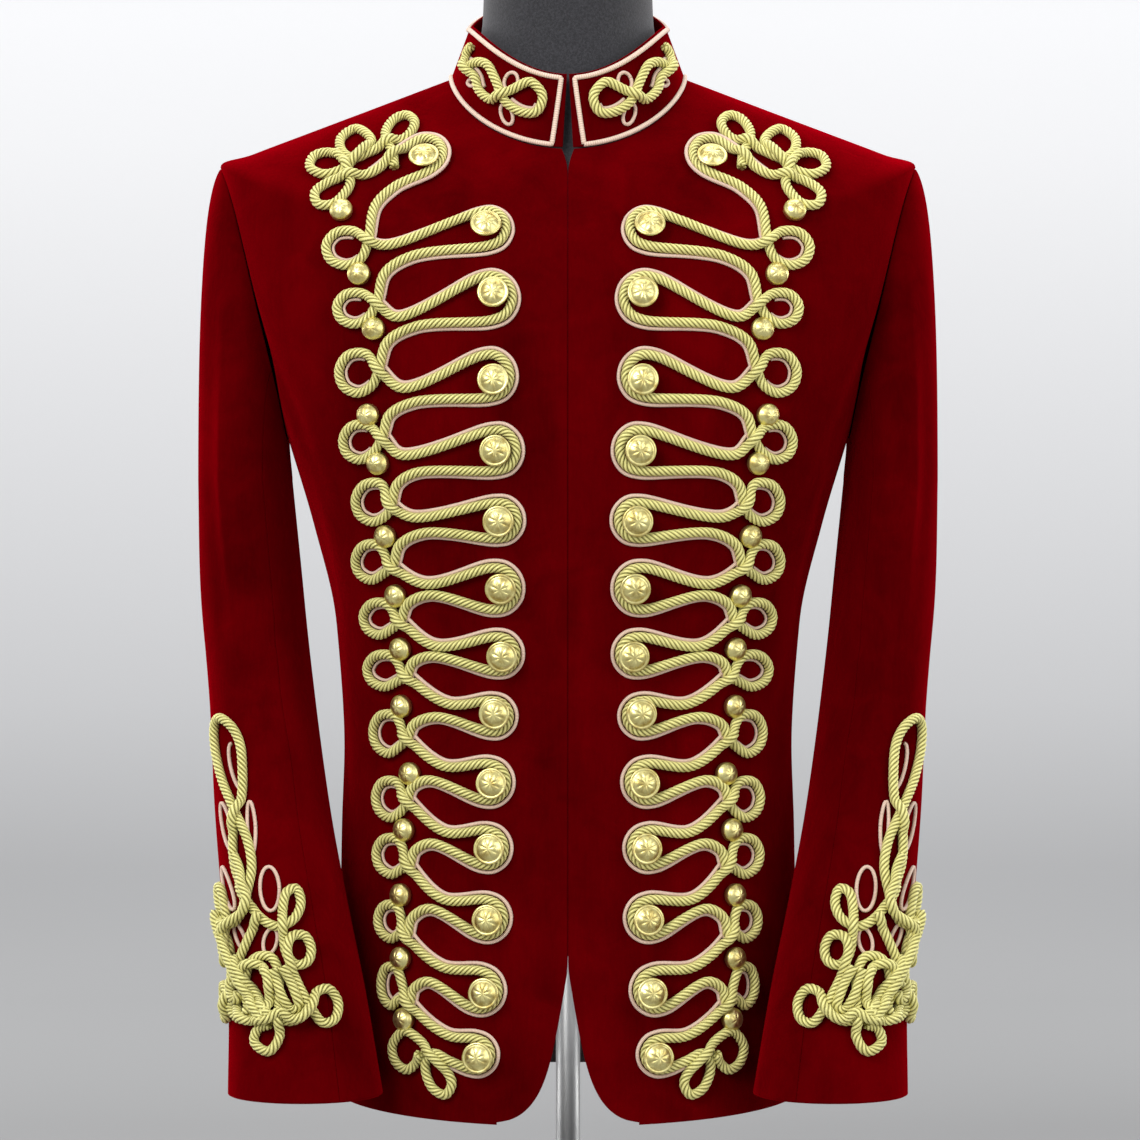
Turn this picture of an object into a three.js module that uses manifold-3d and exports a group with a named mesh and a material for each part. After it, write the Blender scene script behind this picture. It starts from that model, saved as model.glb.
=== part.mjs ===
// Hussar jacket on a limbless dress form with a pole stand.
// Millimetres. +Z is up, the jacket faces -Y and +X is the wearer's left.
// The origin is on the floor, at the middle of the stand's base.
import * as THREE from "three";
import Module from "manifold-3d";

const wasm = await Module();
wasm.setup();

// ---- Driving dimensions ----
const CLOTH = 2; // wall of every cloth piece
const SEAM = 0.3; // clear gap between neighbouring pieces
const CORD = { width: 7, height: 5.8, lift: 1.6 };
const CUFF_CORD = { width: 5.6, height: 4.4, lift: 1.9 };
const BUTTON = { radius: 9.9, underside: 8.1, edge: 9, top: 12.4, shank: 2.2, foot: 0.4 };
const BEAD = { radius: 7.4, base: 7, foot: 0.5, edge: 3.6, top: 9.2 };
const BUTTON_SIDES = 7;
const POLE_RADIUS = 8;
const BASE = { radius: 175, edge: 168, height: 12, dome: 15 };
const FLANGE = { radius: 30, height: 8 };

const deg = (angle) => (angle * Math.PI) / 180;

// A table is given as its column names and one list of numbers for each row.
function table(columns, ...rows) {
  return rows.map((row) => Object.fromEntries(columns.map((name, i) => [name, row[i]])));
}

// Level rings of the body, from the hem up to the neck seam. The three heights are those of
// the ring's front, side and back, square is how far a corner is filled out, and dip is how
// fast the front half rises to the side.
const BODY_RINGS = table(
  ["half", "front", "back", "zFront", "zSide", "zBack", "squareFront", "squareBack", "dip"],
  [152, 117, 115, 110, 118, 122, 0.02, 0.02, 2], // hem
  [150, 116, 114, 196, 200, 203, 0.02, 0.02, 2], // skirt
  [149, 113, 108, 282, 283, 285, 0.02, 0.02, 2], // hip
  [147, 111, 101, 355, 355, 357, 0.02, 0.02, 2], // waist
  [152, 117, 106, 425, 425, 428, 0.03, 0.02, 2], // ribs
  [167, 126, 115, 490, 490, 495, 0.04, 0.03, 2], // chest
  [184, 128, 121, 548, 547, 560, 0.045, 0.04, 2], // armpit
  [212, 125, 123, 606, 640, 640, 0.045, 0.04, 2], // blade
  [229, 113, 112, 664, 726, 716, 0.03, 0.03, 2], // shoulder point
  [207, 104, 102, 681, 735, 740, 0.03, 0.03, 1.9], // shoulder edge
  [150, 92, 85, 704, 757, 768, 0.02, 0.02, 1.6], // shoulder slope
  [77, 73, 58, 731.5, 785, 803, 0, 0, 1.2], // neck seam
);
const HEM = 0;
const ARMPIT = 6;
const SHOULDER = 8;
const NECK = 11;

// Rings of the sleeve from the upper arm down to the cuff.
const SLEEVE_RINGS = table(
  ["z", "x", "y", "wide", "deep", "square"],
  [520, 212, 2, 29.5, 76, 0.02],
  [440, 207, -3, 33, 72, 0.02],
  [375, 200, -14, 34, 68, 0.02],
  [309, 192, -36, 36.7, 64, 0.02],
  [248, 182, -66, 40, 58, 0.02],
  [187, 172, -90, 44, 53, 0.01],
  [130, 166, -108, 49, 50, 0],
);
const CUFF = SLEEVE_RINGS.length;

// Soft folds pressed into the sleeve: place round the arm, height, size and depth.
const SLEEVE_FOLDS = table(
  ["angle", "z", "spread", "reach", "depth"],
  [-62, 600, 16, 130, -2.6],
  [-35, 570, 16, 150, 2.2],
  [-80, 420, 20, 60, -2.4],
  [-112, 380, 24, 26, -3.2],
  [-100, 335, 24, 24, 2.6],
  [80, 400, 22, 90, -2.2],
  [50, 560, 18, 140, -2.2],
);

// How far the front and back panels stop short of the side seam round the armhole.
const ARMHOLE = { front: 22, back: 26 };

// The fronts are cut away below the opening's apex, and notched under the collar.
const CUTAWAY = { apex: 210, height: 98, flare: 18, round: 27 };
const NOTCH = { from: 714, height: 18, width: 4 };

// Upper edge of the collar band, and its gap at the front, below and above.
const COLLAR_TOP = {
  half: 64.5, front: 68, back: 60, zFront: 780, zSide: 819, zBack: 848, dipBack: 1.2,
};
const COLLAR_GAP = { below: 3.4, above: 0.7 };

// The form's neck: level rings above the shoulders.
const NECK_RINGS = table(
  ["half", "front", "back", "zFront", "zSide", "zBack", "dip"],
  [71, 67, 52, 729, 783, 800, 1.2],
  [62, 62, 51.5, 757, 802, 824, 1.5],
  [56.5, 59, 51, 782, 820, 847, 2],
  [55.4, 57, 49, 836, 852, 868, 2],
  [55, 56, 48, 885, 885, 885, 2],
);

// One row for each finger of cord on a front, from the shoulder down: the rounded tip, the
// big button in it, the low point of the upper strand, the high point of the lower strand,
// the place where the cord crosses itself beside the side loop, the loop and the small
// button above it.
const FINGERS = table(
  ["tipX", "tipZ", "tipLong", "tipHigh", "buttonX", "buttonZ", "troughX", "troughZ",
    "humpX", "humpZ", "crossX", "crossZ", "loopX", "loopZ", "loopWide", "loopHigh",
    "beadX", "beadZ"],
  [92.1, 725, 12.4, 11.4, 91.4, 720.6, 114.6, 718.1, 110.4, 703.4, 125.9, 668.1, 140, 664.6, 12.6, 11.2, 143.7, 688.3],
  [50.8, 676.1, 11.6, 11.6, 51.6, 675.3, 113.5, 665.7, 98.2, 658.4, 120, 628.9, 134, 626.3, 11.1, 9.9, 131.4, 647.8],
  [49, 631.7, 14.1, 14.1, 46.7, 634, 107.5, 620.1, 95, 614.2, 118.2, 587.8, 131.6, 585.9, 11.9, 12.8, 121.9, 613.2],
  [48.9, 582.9, 12.6, 13.4, 46.4, 580, 103.9, 575.6, 96.3, 566.7, 115.9, 545.1, 130.2, 542.5, 10.7, 11.3, 125, 559],
  [44.3, 536.3, 11.9, 12.7, 44.9, 536, 104.7, 533.8, 95.4, 522.4, 110, 502.5, 121.7, 504.6, 11.4, 12.5, 118.9, 528.9],
  [42.8, 492.4, 11.1, 11.1, 42.8, 492, 97.5, 494.6, 90.1, 484.8, 109.4, 464.3, 123.2, 467, 10.3, 11.6, 114.1, 482.8],
  [45.3, 449.8, 13.2, 13.2, 41.3, 450.5, 89.2, 452.8, 86.7, 445.9, 104.5, 429.2, 118.5, 430.7, 10.2, 10.7, 107.9, 445.3],
  [43.4, 408.3, 10.9, 10.9, 40.4, 407.4, 83.4, 413.4, 85.9, 407, 100.6, 394.1, 115.5, 397.3, 11.1, 10.6, 105, 411.2],
  [46.7, 368.7, 10, 10, 44.9, 370.8, 75, 376.4, 82.6, 368, 100.3, 354, 113.1, 356.6, 9.7, 13, 104.5, 374.4],
  [50, 326.9, 11.6, 11.6, 46.8, 326.1, 77.8, 336.6, 87.3, 327.5, 100.4, 314.4, 111.8, 314.7, 9.3, 12.1, 99.1, 331.2],
  [50.9, 285.3, 11.1, 11.1, 48.2, 284.9, 76.9, 294.8, 85.7, 287.5, 99.1, 272.6, 111.1, 278.4, 9.8, 11.8, 102.8, 295.3],
  [51.3, 241.3, 11.2, 11.2, 49.3, 240, 78.5, 252.5, 86.7, 246.1, 100.7, 228.1, 111.3, 236.7, 8.7, 11.1, 104.9, 253.8],
  [55.5, 195.8, 11.9, 11.9, 51.4, 194.1, 78.8, 209.6, 87.6, 200, 99.1, 185.7, 111, 195.8, 6.8, 12.8, 104.9, 213.6],
  [58, 155.2, 9.8, 9.8, 55.2, 153.6, 75.3, 166.6, 74.6, 150.8, 86.8, 156.7, 0, 0, 0, 0, 102.7, 175.2],
);

// Where the lower strand turns down to the crossing, as shares of the way there.
const BEND = { across: 0.78, down: 0.36 };

// Four loops of the shoulder knot, from its tucked end to the strand of the first finger.
const SHOULDER_KNOT = table(
  ["x", "z"],
  [110.8, 717], [111.9, 725.5], [115.2, 733.1], [117.6, 741.2], [112.1, 751.5],
  [104.2, 754.1], [98.9, 748.7], [103.5, 738.5], [115.2, 733.1], [126.3, 728],
  [137.4, 723.5], [145, 728.4], [146.6, 737.7], [137, 745], [126.3, 735.7],
  [132.6, 724.7], [149, 713.8], [157.9, 712.9], [165.4, 717.9], [163.4, 725.3],
  [153.6, 727.9], [146.5, 723.9], [141.2, 716.3], [138.8, 705.8], [142.7, 698.3],
  [149.2, 692.3], [158.7, 692.8], [161.3, 699.5], [151.7, 707.6], [142.9, 709.9],
  [135.1, 710.9], [125.3, 713.4],
);

// The two loops that end the cord below the last finger.
const LAST_LOOPS = table(
  ["x", "z"],
  [83.7, 154.8], [88.4, 151], [88.5, 141.3], [83.8, 132.1], [76.5, 129],
  [72.4, 136.5], [77.2, 146.1], [86.8, 156.7], [94.7, 164.3], [102.6, 167.6],
  [110.2, 157.5], [107.5, 146.9], [100.6, 143.3], [94.3, 148.8], [91, 154.5],
);

// Collar knot: angle round the neck from the front, and share of the band's height.
const COLLAR_KNOT = table(
  ["angle", "rise"],
  [63.9, 0.43], [61, 0.54], [54.1, 0.68], [47.6, 0.72], [41.5, 0.63], [36.4, 0.5],
  [32, 0.4], [23.9, 0.36], [17.5, 0.39], [13.6, 0.53], [14.1, 0.7], [19.9, 0.79],
  [28.5, 0.63], [35.5, 0.45], [42.3, 0.33], [49.9, 0.35], [54.8, 0.46], [60.5, 0.48],
  [66.6, 0.55], [65.5, 0.7], [60.9, 0.78], [57.2, 0.69],
);

// Cuff knot: distance from the knot's middle line and height. The first table is one half
// of the main cord, the second the arch and small loop that close it below.
const CUFF_HALF = table(
  ["across", "z"],
  [0, 366], [8, 361], [12, 346], [9.4, 329], [5, 316], [-1, 302], [-5.5, 288], [-6, 273],
  [-1.5, 259], [6.5, 243], [16.6, 236.7], [26.9, 240.8], [32.5, 250.7], [30.6, 259.3],
  [25.2, 257.5], [21.4, 247], [19.8, 232], [20.4, 219], [25, 213.2], [32, 215.5],
  [34.9, 223.4], [32.2, 230.6], [25.5, 230.8], [21, 223.4], [22, 209.5], [26, 196.6],
  [30.4, 186.5], [36.7, 177.9], [44.6, 180.1], [47.6, 189.8], [42.2, 198], [34.4, 196.3],
  [28.7, 185.6], [18.6, 179.6], [8.9, 181], [-2, 185],
);
const CUFF_ARCH = table(
  ["across", "z"],
  [-8, 182], [-10, 196], [-6, 210.5], [2, 218], [10.5, 218], [14, 208], [12, 195],
  [10.8, 181], [10, 169.6], [2.6, 160.9], [-6.5, 166], [-3, 174.5], [5, 177],
);
const CUFF_AXIS = table(["z", "angle"], [155, -67], [250, -65], [315, -64], [366, -52]);

// ---- Curves and surfaces ----

// Smooth values of every column of a table at a fractional row, without overshoot.
function track(rows) {
  const names = Object.keys(rows[0]);
  const last = rows.length - 1;
  const slopes = {};
  for (const name of names) {
    const steps = rows.slice(1).map((row, i) => row[name] - rows[i][name]);
    slopes[name] = rows.map((row, i) => {
      if (i === 0) return steps[0];
      if (i === last) return steps[last - 1];
      const product = steps[i - 1] * steps[i];
      return product > 0 ? (2 * product) / (steps[i - 1] + steps[i]) : 0;
    });
  }
  return (place) => {
    const i = Math.min(Math.max(Math.floor(place), 0), last - 1);
    const t = place - i;
    const values = {};
    for (const name of names) {
      values[name] =
        (2 * t ** 3 - 3 * t ** 2 + 1) * rows[i][name] +
        (t ** 3 - 2 * t ** 2 + t) * slopes[name][i] +
        (3 * t ** 2 - 2 * t ** 3) * rows[i + 1][name] +
        (t ** 3 - t ** 2) * slopes[name][i + 1];
    }
    return values;
  };
}

const vector = (x, y, z) => new THREE.Vector3(x, y, z);

// Point of a level ring. Angle 0 is the centre front, 90 degrees the wearer's left side.
function ringPoint(ring, angle) {
  const inFront = Math.cos(angle) >= 0;
  const depth = inFront ? ring.front : ring.back;
  const square = (inFront ? ring.squareFront : ring.squareBack) ?? 0;
  const height = inFront ? ring.zFront : ring.zBack;
  const dip = (inFront ? ring.dip : ring.dipBack) ?? 2;
  return vector(
    (ring.half * (Math.sin(angle) + square * Math.sin(3 * angle))) / (1 - square),
    (-depth * (Math.cos(angle) - square * Math.cos(3 * angle))) / (1 - square),
    ring.zSide + (height - ring.zSide) * Math.abs(Math.cos(angle)) ** dip,
  );
}

const bodyRing = track(BODY_RINGS);

function bodyPoint(angle, row) {
  return ringPoint(bodyRing(row), angle);
}

// Outward unit normal of a surface given as a function of two numbers.
function normalOf(surface, u, v, topV) {
  const h = 1e-3;
  const high = Math.min(v + h, topV);
  const low = Math.max(v - h, 0);
  const along = surface(u + h, v).sub(surface(u - h, v));
  const up = surface(u, high).sub(surface(u, low));
  return along.cross(up).normalize();
}

const bodyNormal = (angle, row) => normalOf(bodyPoint, angle, row, NECK);

// Normal used by the panels. Both sides of the side seam take the seam's own.
function wallNormal(angle, row) {
  const beside = Math.abs(angle - deg(90)) < deg(1);
  return bodyNormal(beside ? deg(90) : angle, row);
}

const sleeveRing = track(SLEEVE_RINGS);

function sleeveFold(angle, z) {
  let depth = 0;
  for (const fold of SLEEVE_FOLDS) {
    const turn = Math.atan2(Math.sin(angle - deg(fold.angle)), Math.cos(angle - deg(fold.angle)));
    const across = turn / deg(fold.spread);
    const along = (z - fold.z) / fold.reach;
    depth += fold.depth * Math.exp(-across * across - along * along);
  }
  return depth;
}

// The sleeve below the upper arm. Angle 0 is outward, -90 degrees the front.
function armPoint(angle, place) {
  const r = sleeveRing(place);
  const fold = sleeveFold(angle, r.z);
  const squareX = Math.cos(angle) - r.square * Math.cos(3 * angle);
  const squareY = Math.sin(angle) + r.square * Math.sin(3 * angle);
  return vector(
    r.x + (r.wide * squareX) / (1 - r.square) + fold * Math.cos(angle),
    r.y + (r.deep * squareY) / (1 - r.square) + fold * Math.sin(angle),
    r.z,
  );
}

// The armhole edge on the body, at the same angle round the sleeve.
function armholePlace(angle) {
  const width = Math.sin(angle) < 0 ? -ARMHOLE.front : ARMHOLE.back;
  return [deg(90 + width * Math.abs(Math.sin(angle))), (ARMPIT + SHOULDER) / 2 + Math.cos(angle)];
}

// The sleeve from the armhole (0) over the cap (1 is the upper arm) to the cuff (7).
function sleevePoint(angle, place) {
  if (place >= 1) return armPoint(angle, place - 1);
  const [bodyAngle, row] = armholePlace(angle);
  const seam = bodyPoint(bodyAngle, row);
  const middle = bodyPoint(deg(90), (ARMPIT + SHOULDER) / 2);
  const normal = bodyNormal(bodyAngle, row);
  const inward = middle.sub(seam);
  inward.addScaledVector(normal, -inward.dot(normal)).normalize();
  seam.addScaledVector(inward, 2 * SEAM).addScaledVector(normal, 0.25 * (1 - Math.cos(angle)));
  const arm = armPoint(angle, 0);
  const span = arm.distanceTo(seam);
  const leave = vector(0.22 * span, 0.15 * Math.sin(angle) * span, -0.3 * span);
  const arrive = vector(0, 0, -span);
  const t = place;
  return seam
    .multiplyScalar(2 * t ** 3 - 3 * t ** 2 + 1)
    .addScaledVector(leave, t ** 3 - 2 * t ** 2 + t)
    .addScaledVector(arm, 3 * t ** 2 - 2 * t ** 3)
    .addScaledVector(arrive, t ** 3 - t ** 2);
}

const neckRing = BODY_RINGS[NECK];

// The collar band from the neck seam (0) to its upper edge (1).
function collarPoint(angle, rise) {
  const seam = ringPoint(neckRing, angle);
  seam.z += 2.4 * SEAM;
  return seam.lerp(ringPoint(COLLAR_TOP, angle), rise);
}

// Angle at which a row of a surface has the wanted x.
function angleAt(surface, x, row) {
  let angle = x / surface(deg(90), row).x;
  for (let i = 0; i < 8; i += 1) {
    const slope = (surface(angle + 1e-4, row).x - surface(angle, row).x) / 1e-4;
    angle += (x - surface(angle, row).x) / slope;
  }
  return angle;
}

// Angle and row of the front surface at the wanted x and height.
function locate(x, z) {
  let angle = Math.min(Math.max(x / 190, 0.01), 1.3);
  let row = 5;
  for (let i = 0; i < 60; i += 1) {
    const here = bodyPoint(angle, row);
    const across = bodyPoint(angle + 1e-4, row).sub(here).multiplyScalar(1e4);
    const up = bodyPoint(angle, row + 1e-4).sub(here).multiplyScalar(1e4);
    const gapX = x - here.x;
    const gapZ = z - here.z;
    const scale = across.x * up.z - across.z * up.x;
    const turn = (gapX * up.z - gapZ * up.x) / scale;
    const climb = (across.x * gapZ - across.z * gapX) / scale;
    angle = Math.min(Math.max(angle + Math.min(Math.max(turn, -0.2), 0.2), 0), 1.55);
    row = Math.min(Math.max(row + Math.min(Math.max(climb, -0.5), 0.5), 0), NECK - 0.01);
  }
  return [angle, row];
}

// ---- Solids ----

const MATERIALS = {
  velvet: new THREE.MeshStandardMaterial({ name: "velvet", color: 0x6e0008, roughness: 0.9 }),
  cord: new THREE.MeshStandardMaterial({ name: "gold_cord", color: 0xe6da88, roughness: 0.6 }),
  button: new THREE.MeshStandardMaterial({
    name: "button_brass", color: 0xe9d58a, roughness: 0.3, metalness: 1,
  }),
  form: new THREE.MeshStandardMaterial({ name: "form_fabric", color: 0x403f44, roughness: 0.95 }),
  steel: new THREE.MeshStandardMaterial({
    name: "stand_steel", color: 0xd8d8d6, roughness: 0.35, metalness: 1,
  }),
};

const group = new THREE.Group();
group.name = "hussar_jacket";

function signedVolume(points, faces) {
  let total = 0;
  for (const [a, b, c] of faces) {
    total += points[a].dot(points[b].clone().cross(points[c]));
  }
  return total / 6;
}

// A closed body from points and triangles, turned outward.
function solid(points, faces) {
  const outward = signedVolume(points, faces) > 0;
  const ordered = outward ? faces : faces.map(([a, b, c]) => [a, c, b]);
  const geometry = new THREE.BufferGeometry();
  const flat = points.flatMap((point) => [point.x, point.y, point.z]);
  geometry.setAttribute("position", new THREE.Float32BufferAttribute(flat, 3));
  geometry.setIndex(ordered.flat());
  return geometry;
}

function add(name, geometry, material) {
  geometry.computeVertexNormals();
  const mesh = new THREE.Mesh(geometry, material);
  mesh.name = name;
  group.add(mesh);
}

// The same body on the wearer's right.
function mirrored(geometry) {
  const copy = geometry.clone();
  copy.scale(-1, 1, 1);
  const index = Array.from(copy.getIndex().array);
  for (let i = 0; i < index.length; i += 3) {
    [index[i + 1], index[i + 2]] = [index[i + 2], index[i + 1]];
  }
  copy.setIndex(index);
  return copy;
}

function addPair(name, geometry, material, suffix = "") {
  add(`${name}_left${suffix}`, geometry, material);
  add(`${name}_right${suffix}`, mirrored(geometry), material);
}

// A wall between two grids of points, closed along all four edges.
function wall(outer, inner) {
  const rows = outer.length;
  const columns = outer[0].length;
  const points = [...outer.flat(), ...inner.flat()];
  const faces = [];
  const at = (side, i, j) => side * rows * columns + i * columns + j;
  const quad = (a, b, c, d) => faces.push([a, b, c], [a, c, d]);
  for (let i = 0; i + 1 < rows; i += 1) {
    for (let j = 0; j + 1 < columns; j += 1) {
      quad(at(0, i, j), at(0, i, j + 1), at(0, i + 1, j + 1), at(0, i + 1, j));
      quad(at(1, i, j), at(1, i + 1, j), at(1, i + 1, j + 1), at(1, i, j + 1));
    }
  }
  for (let i = 0; i + 1 < rows; i += 1) {
    const end = columns - 1;
    quad(at(0, i, 0), at(0, i + 1, 0), at(1, i + 1, 0), at(1, i, 0));
    quad(at(0, i + 1, end), at(0, i, end), at(1, i, end), at(1, i + 1, end));
  }
  for (let j = 0; j + 1 < columns; j += 1) {
    const end = rows - 1;
    quad(at(0, 0, j + 1), at(0, 0, j), at(1, 0, j), at(1, 0, j + 1));
    quad(at(0, end, j), at(0, end, j + 1), at(1, end, j + 1), at(1, end, j));
  }
  return solid(points, faces);
}

// A body lofted through closed rings of points, with flat ends.
function loft(rings) {
  const sides = rings[0].length;
  const points = rings.flat();
  const faces = [];
  for (let i = 0; i + 1 < rings.length; i += 1) {
    for (let j = 0; j < sides; j += 1) {
      const a = i * sides + j;
      const b = i * sides + ((j + 1) % sides);
      faces.push([a, b, b + sides], [a, b + sides, a + sides]);
    }
  }
  const lastRing = (rings.length - 1) * sides;
  for (let j = 1; j + 1 < sides; j += 1) {
    faces.push([0, j + 1, j], [lastRing, lastRing + j, lastRing + j + 1]);
  }
  return solid(points, faces);
}

// A turned body from a profile of [radius, height] pairs, set along an axis.
function turned(profile, sides, origin, axis) {
  const spin = new THREE.Quaternion().setFromUnitVectors(vector(0, 0, 1), axis);
  const points = [];
  const faces = [];
  const starts = [];
  for (const [radius, height] of profile) {
    starts.push(points.length);
    const count = radius === 0 ? 1 : sides;
    for (let j = 0; j < count; j += 1) {
      const angle = (2 * Math.PI * (j + 0.5)) / sides;
      const point = vector(radius * Math.cos(angle), radius * Math.sin(angle), height);
      points.push(point.applyQuaternion(spin).add(origin));
    }
  }
  for (let i = 0; i + 1 < profile.length; i += 1) {
    const [low, high] = [starts[i], starts[i + 1]];
    for (let j = 0; j < sides; j += 1) {
      const next = (j + 1) % sides;
      if (profile[i][0] === 0) faces.push([low, high + next, high + j]);
      else if (profile[i + 1][0] === 0) faces.push([low + j, low + next, high]);
      else faces.push([low + j, low + next, high + next], [low + j, high + next, high + j]);
    }
  }
  return solid(points, faces);
}

function toManifold(geometry) {
  return new wasm.Manifold(new wasm.Mesh({
    numProp: 3,
    vertProperties: new Float32Array(geometry.getAttribute("position").array),
    triVerts: new Uint32Array(geometry.getIndex().array),
  }));
}

// Several overlapping bodies joined into one.
function joined(geometries) {
  const union = wasm.Manifold.union(geometries.map(toManifold)).simplify(0.3);
  const bodies = union.decompose().filter((body) => body.volume() > 1);
  const mesh = wasm.Manifold.compose(bodies).getMesh();
  const geometry = new THREE.BufferGeometry();
  const flat = Array.from(mesh.vertProperties);
  geometry.setAttribute("position", new THREE.Float32BufferAttribute(flat, 3));
  geometry.setIndex(Array.from(mesh.triVerts));
  return geometry;
}

// ---- Cord laid on a surface ----

// Numbers of the points to keep, so that the path neither turns nor runs too far at once.
function thinned(points, turnLimit, spanLimit) {
  const keep = [0];
  let turn = 0;
  let span = 0;
  for (let i = 1; i + 1 < points.length; i += 1) {
    const arriving = points[i].clone().sub(points[i - 1]);
    const leaving = points[i + 1].clone().sub(points[i]);
    span += arriving.length();
    turn += arriving.angleTo(leaving);
    if (turn >= turnLimit || span >= spanLimit) {
      keep.push(i);
      turn = 0;
      span = 0;
    }
  }
  keep.push(points.length - 1);
  return keep;
}

// Short closed lengths of cord along a flat path. Place gives the surface point and normal
// at each point of the path. The lengths meet end to end, so a path may cross itself.
function cordLengths(path, cord, place) {
  const curve = new THREE.CatmullRomCurve3(
    path.map(([a, b]) => vector(a, b, 0)), false, "centripetal");
  const placed = curve.getPoints(path.length * 8).map((flat) => place(flat.x, flat.y));
  const points = placed.map(([point]) => point);
  const half = cord.width / 2;
  const crown = 0.52 * half;
  const section = [[-half, 0], [half, 0], [crown, cord.height], [-crown, cord.height]];
  const rings = thinned(points, deg(52), 25).map((i) => {
    const before = points[Math.max(i - 1, 0)];
    const after = points[Math.min(i + 1, points.length - 1)];
    const [point, normal] = placed[i];
    const side = after.clone().sub(before).cross(normal).normalize();
    return section.map(([across, high]) =>
      point.clone().addScaledVector(side, across).addScaledVector(normal, cord.lift + high));
  });
  const lengths = [];
  for (let start = 0; start + 1 < rings.length; start += 7) {
    lengths.push(loft(rings.slice(start, start + 8)));
  }
  return lengths;
}

function onFront(x, z) {
  const [angle, row] = locate(x, z);
  return [bodyPoint(angle, row), bodyNormal(angle, row)];
}

function onCollar(angle, rise) {
  const point = collarPoint(deg(angle), rise / 100);
  return [point, normalOf(collarPoint, deg(angle), rise / 100, 1)];
}

const sleevePlaceAt = (z) => {
  let low = 1;
  let high = CUFF;
  for (let i = 0; i < 30; i += 1) {
    const middle = (low + high) / 2;
    if (sleeveRing(middle - 1).z > z) low = middle;
    else high = middle;
  }
  return low;
};

function onCuff(across, z) {
  const place = sleevePlaceAt(z);
  const axis = CUFF_AXIS.findIndex((row) => row.z >= z);
  const [low, high] = [CUFF_AXIS[Math.max(axis - 1, 0)], CUFF_AXIS[axis < 0 ? 3 : axis]];
  const share = high.z === low.z ? 0 : (z - low.z) / (high.z - low.z);
  let angle = deg(low.angle + (high.angle - low.angle) * share);
  const step = Math.sign(-across) * deg(1);
  let left = Math.abs(across);
  while (left > 0) {
    const width = sleevePoint(angle, place).distanceTo(sleevePoint(angle + step, place));
    angle += step * Math.min(left / width, 1);
    left -= width;
  }
  return [sleevePoint(angle, place), normalOf(sleevePoint, angle, place, CUFF).negate()];
}

// ---- Jacket fronts and backs ----

const rowsBetween = (from, to, count) =>
  Array.from({ length: count }, (unused, i) => from + ((to - from) * (i + 1)) / count);

// Rows at every 20 degrees round the armhole, where the sleeve has its columns too.
const ARMHOLE_ROWS = rowsBetween(0, 180, 9).map((turn) => 7 - Math.cos(deg(turn)));
const SHOULDER_ROWS = [8.5, 9, 9.6, 10.2, 10.65, NECK];
const FRONT_COLUMNS = 8;
const BACK_COLUMNS = 7;
const FRONT_ROWS = [
  HEM, 0.06, 0.16, 0.32, 0.55, 0.85, 1.16, 1.7, 2.4, 2.9, 3.4, 4.1, 5, ARMPIT,
  ...ARMHOLE_ROWS, ...SHOULDER_ROWS,
];
const BACK_ROWS = [
  HEM, 0.85, 1.7, 2.4, 3.2, 4.1, 5, ARMPIT,
  ...ARMHOLE_ROWS, ...SHOULDER_ROWS,
];

// How far the front edge stands off the middle at a height.
function frontEdge(z) {
  const fall = (CUTAWAY.apex - z) / CUTAWAY.height;
  const cut = Math.min(Math.max(fall, 0), 1);
  const lower = CUTAWAY.flare * cut ** 1.1 + CUTAWAY.round * (1 - Math.sqrt(1 - cut ** 6));
  const notch = NOTCH.width * Math.max((z - NOTCH.from) / NOTCH.height, 0) ** 2;
  return SEAM / 2 + lower + notch;
}

// Angle of the armhole or side edge of a panel at a row.
function sideEdge(row, width) {
  const inArmhole = row > ARMPIT && row < SHOULDER;
  const share = inArmhole ? Math.sqrt(1 - (row - (ARMPIT + SHOULDER) / 2) ** 2) : 0;
  return deg(90 - width * share);
}

function panel(rows, columns, startAngle, endAngle) {
  const outer = rows.map((row) => {
    const [start, end] = [startAngle(row), endAngle(row)];
    return Array.from({ length: columns + 1 }, (unused, j) =>
      [start + ((end - start) * j) / columns, row]);
  });
  const outside = outer.map((line) => line.map(([angle, row]) => bodyPoint(angle, row)));
  const inside = outer.map((line) => line.map(([angle, row]) =>
    bodyPoint(angle, row).addScaledVector(wallNormal(angle, row), -CLOTH)));
  return wall(outside, inside);
}

// Half of the side seam's gap, as an angle.
function halfGap(row) {
  const step = deg(0.1);
  const arc = bodyPoint(deg(90) + step, row).distanceTo(bodyPoint(deg(90) - step, row));
  return (SEAM / 2) * ((2 * step) / arc);
}

addPair("front", panel(
  FRONT_ROWS, FRONT_COLUMNS,
  (row) => angleAt(bodyPoint, frontEdge(bodyPoint(0, row).z), row),
  (row) => sideEdge(row, ARMHOLE.front) - halfGap(row),
), MATERIALS.velvet);

addPair("back", panel(
  BACK_ROWS, BACK_COLUMNS,
  (row) => deg(180) - sideEdge(row, ARMHOLE.back) + halfGap(row),
  (row) => deg(180) - (2 * SEAM) / 3 / bodyRing(row).half,
), MATERIALS.velvet);

// ---- Collar ----

const COLLAR_RISES = [0, 0.5, 1];
const COLLAR_COLUMNS = 26;

function collarEdge(rise) {
  const gap = COLLAR_GAP.below + (COLLAR_GAP.above - COLLAR_GAP.below) * rise;
  return angleAt(collarPoint, gap, rise);
}

function collarGrid(depth) {
  return COLLAR_RISES.map((rise) => {
    const edge = collarEdge(rise);
    return Array.from({ length: COLLAR_COLUMNS + 1 }, (unused, j) => {
      const angle = edge + ((2 * Math.PI - 2 * edge) * j) / COLLAR_COLUMNS;
      const normal = normalOf(collarPoint, angle, rise, 1);
      normal.z = 0;
      return collarPoint(angle, rise).addScaledVector(normal.normalize(), -depth);
    });
  });
}

add("collar", wall(collarGrid(0), collarGrid(CLOTH)), MATERIALS.velvet);

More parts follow.
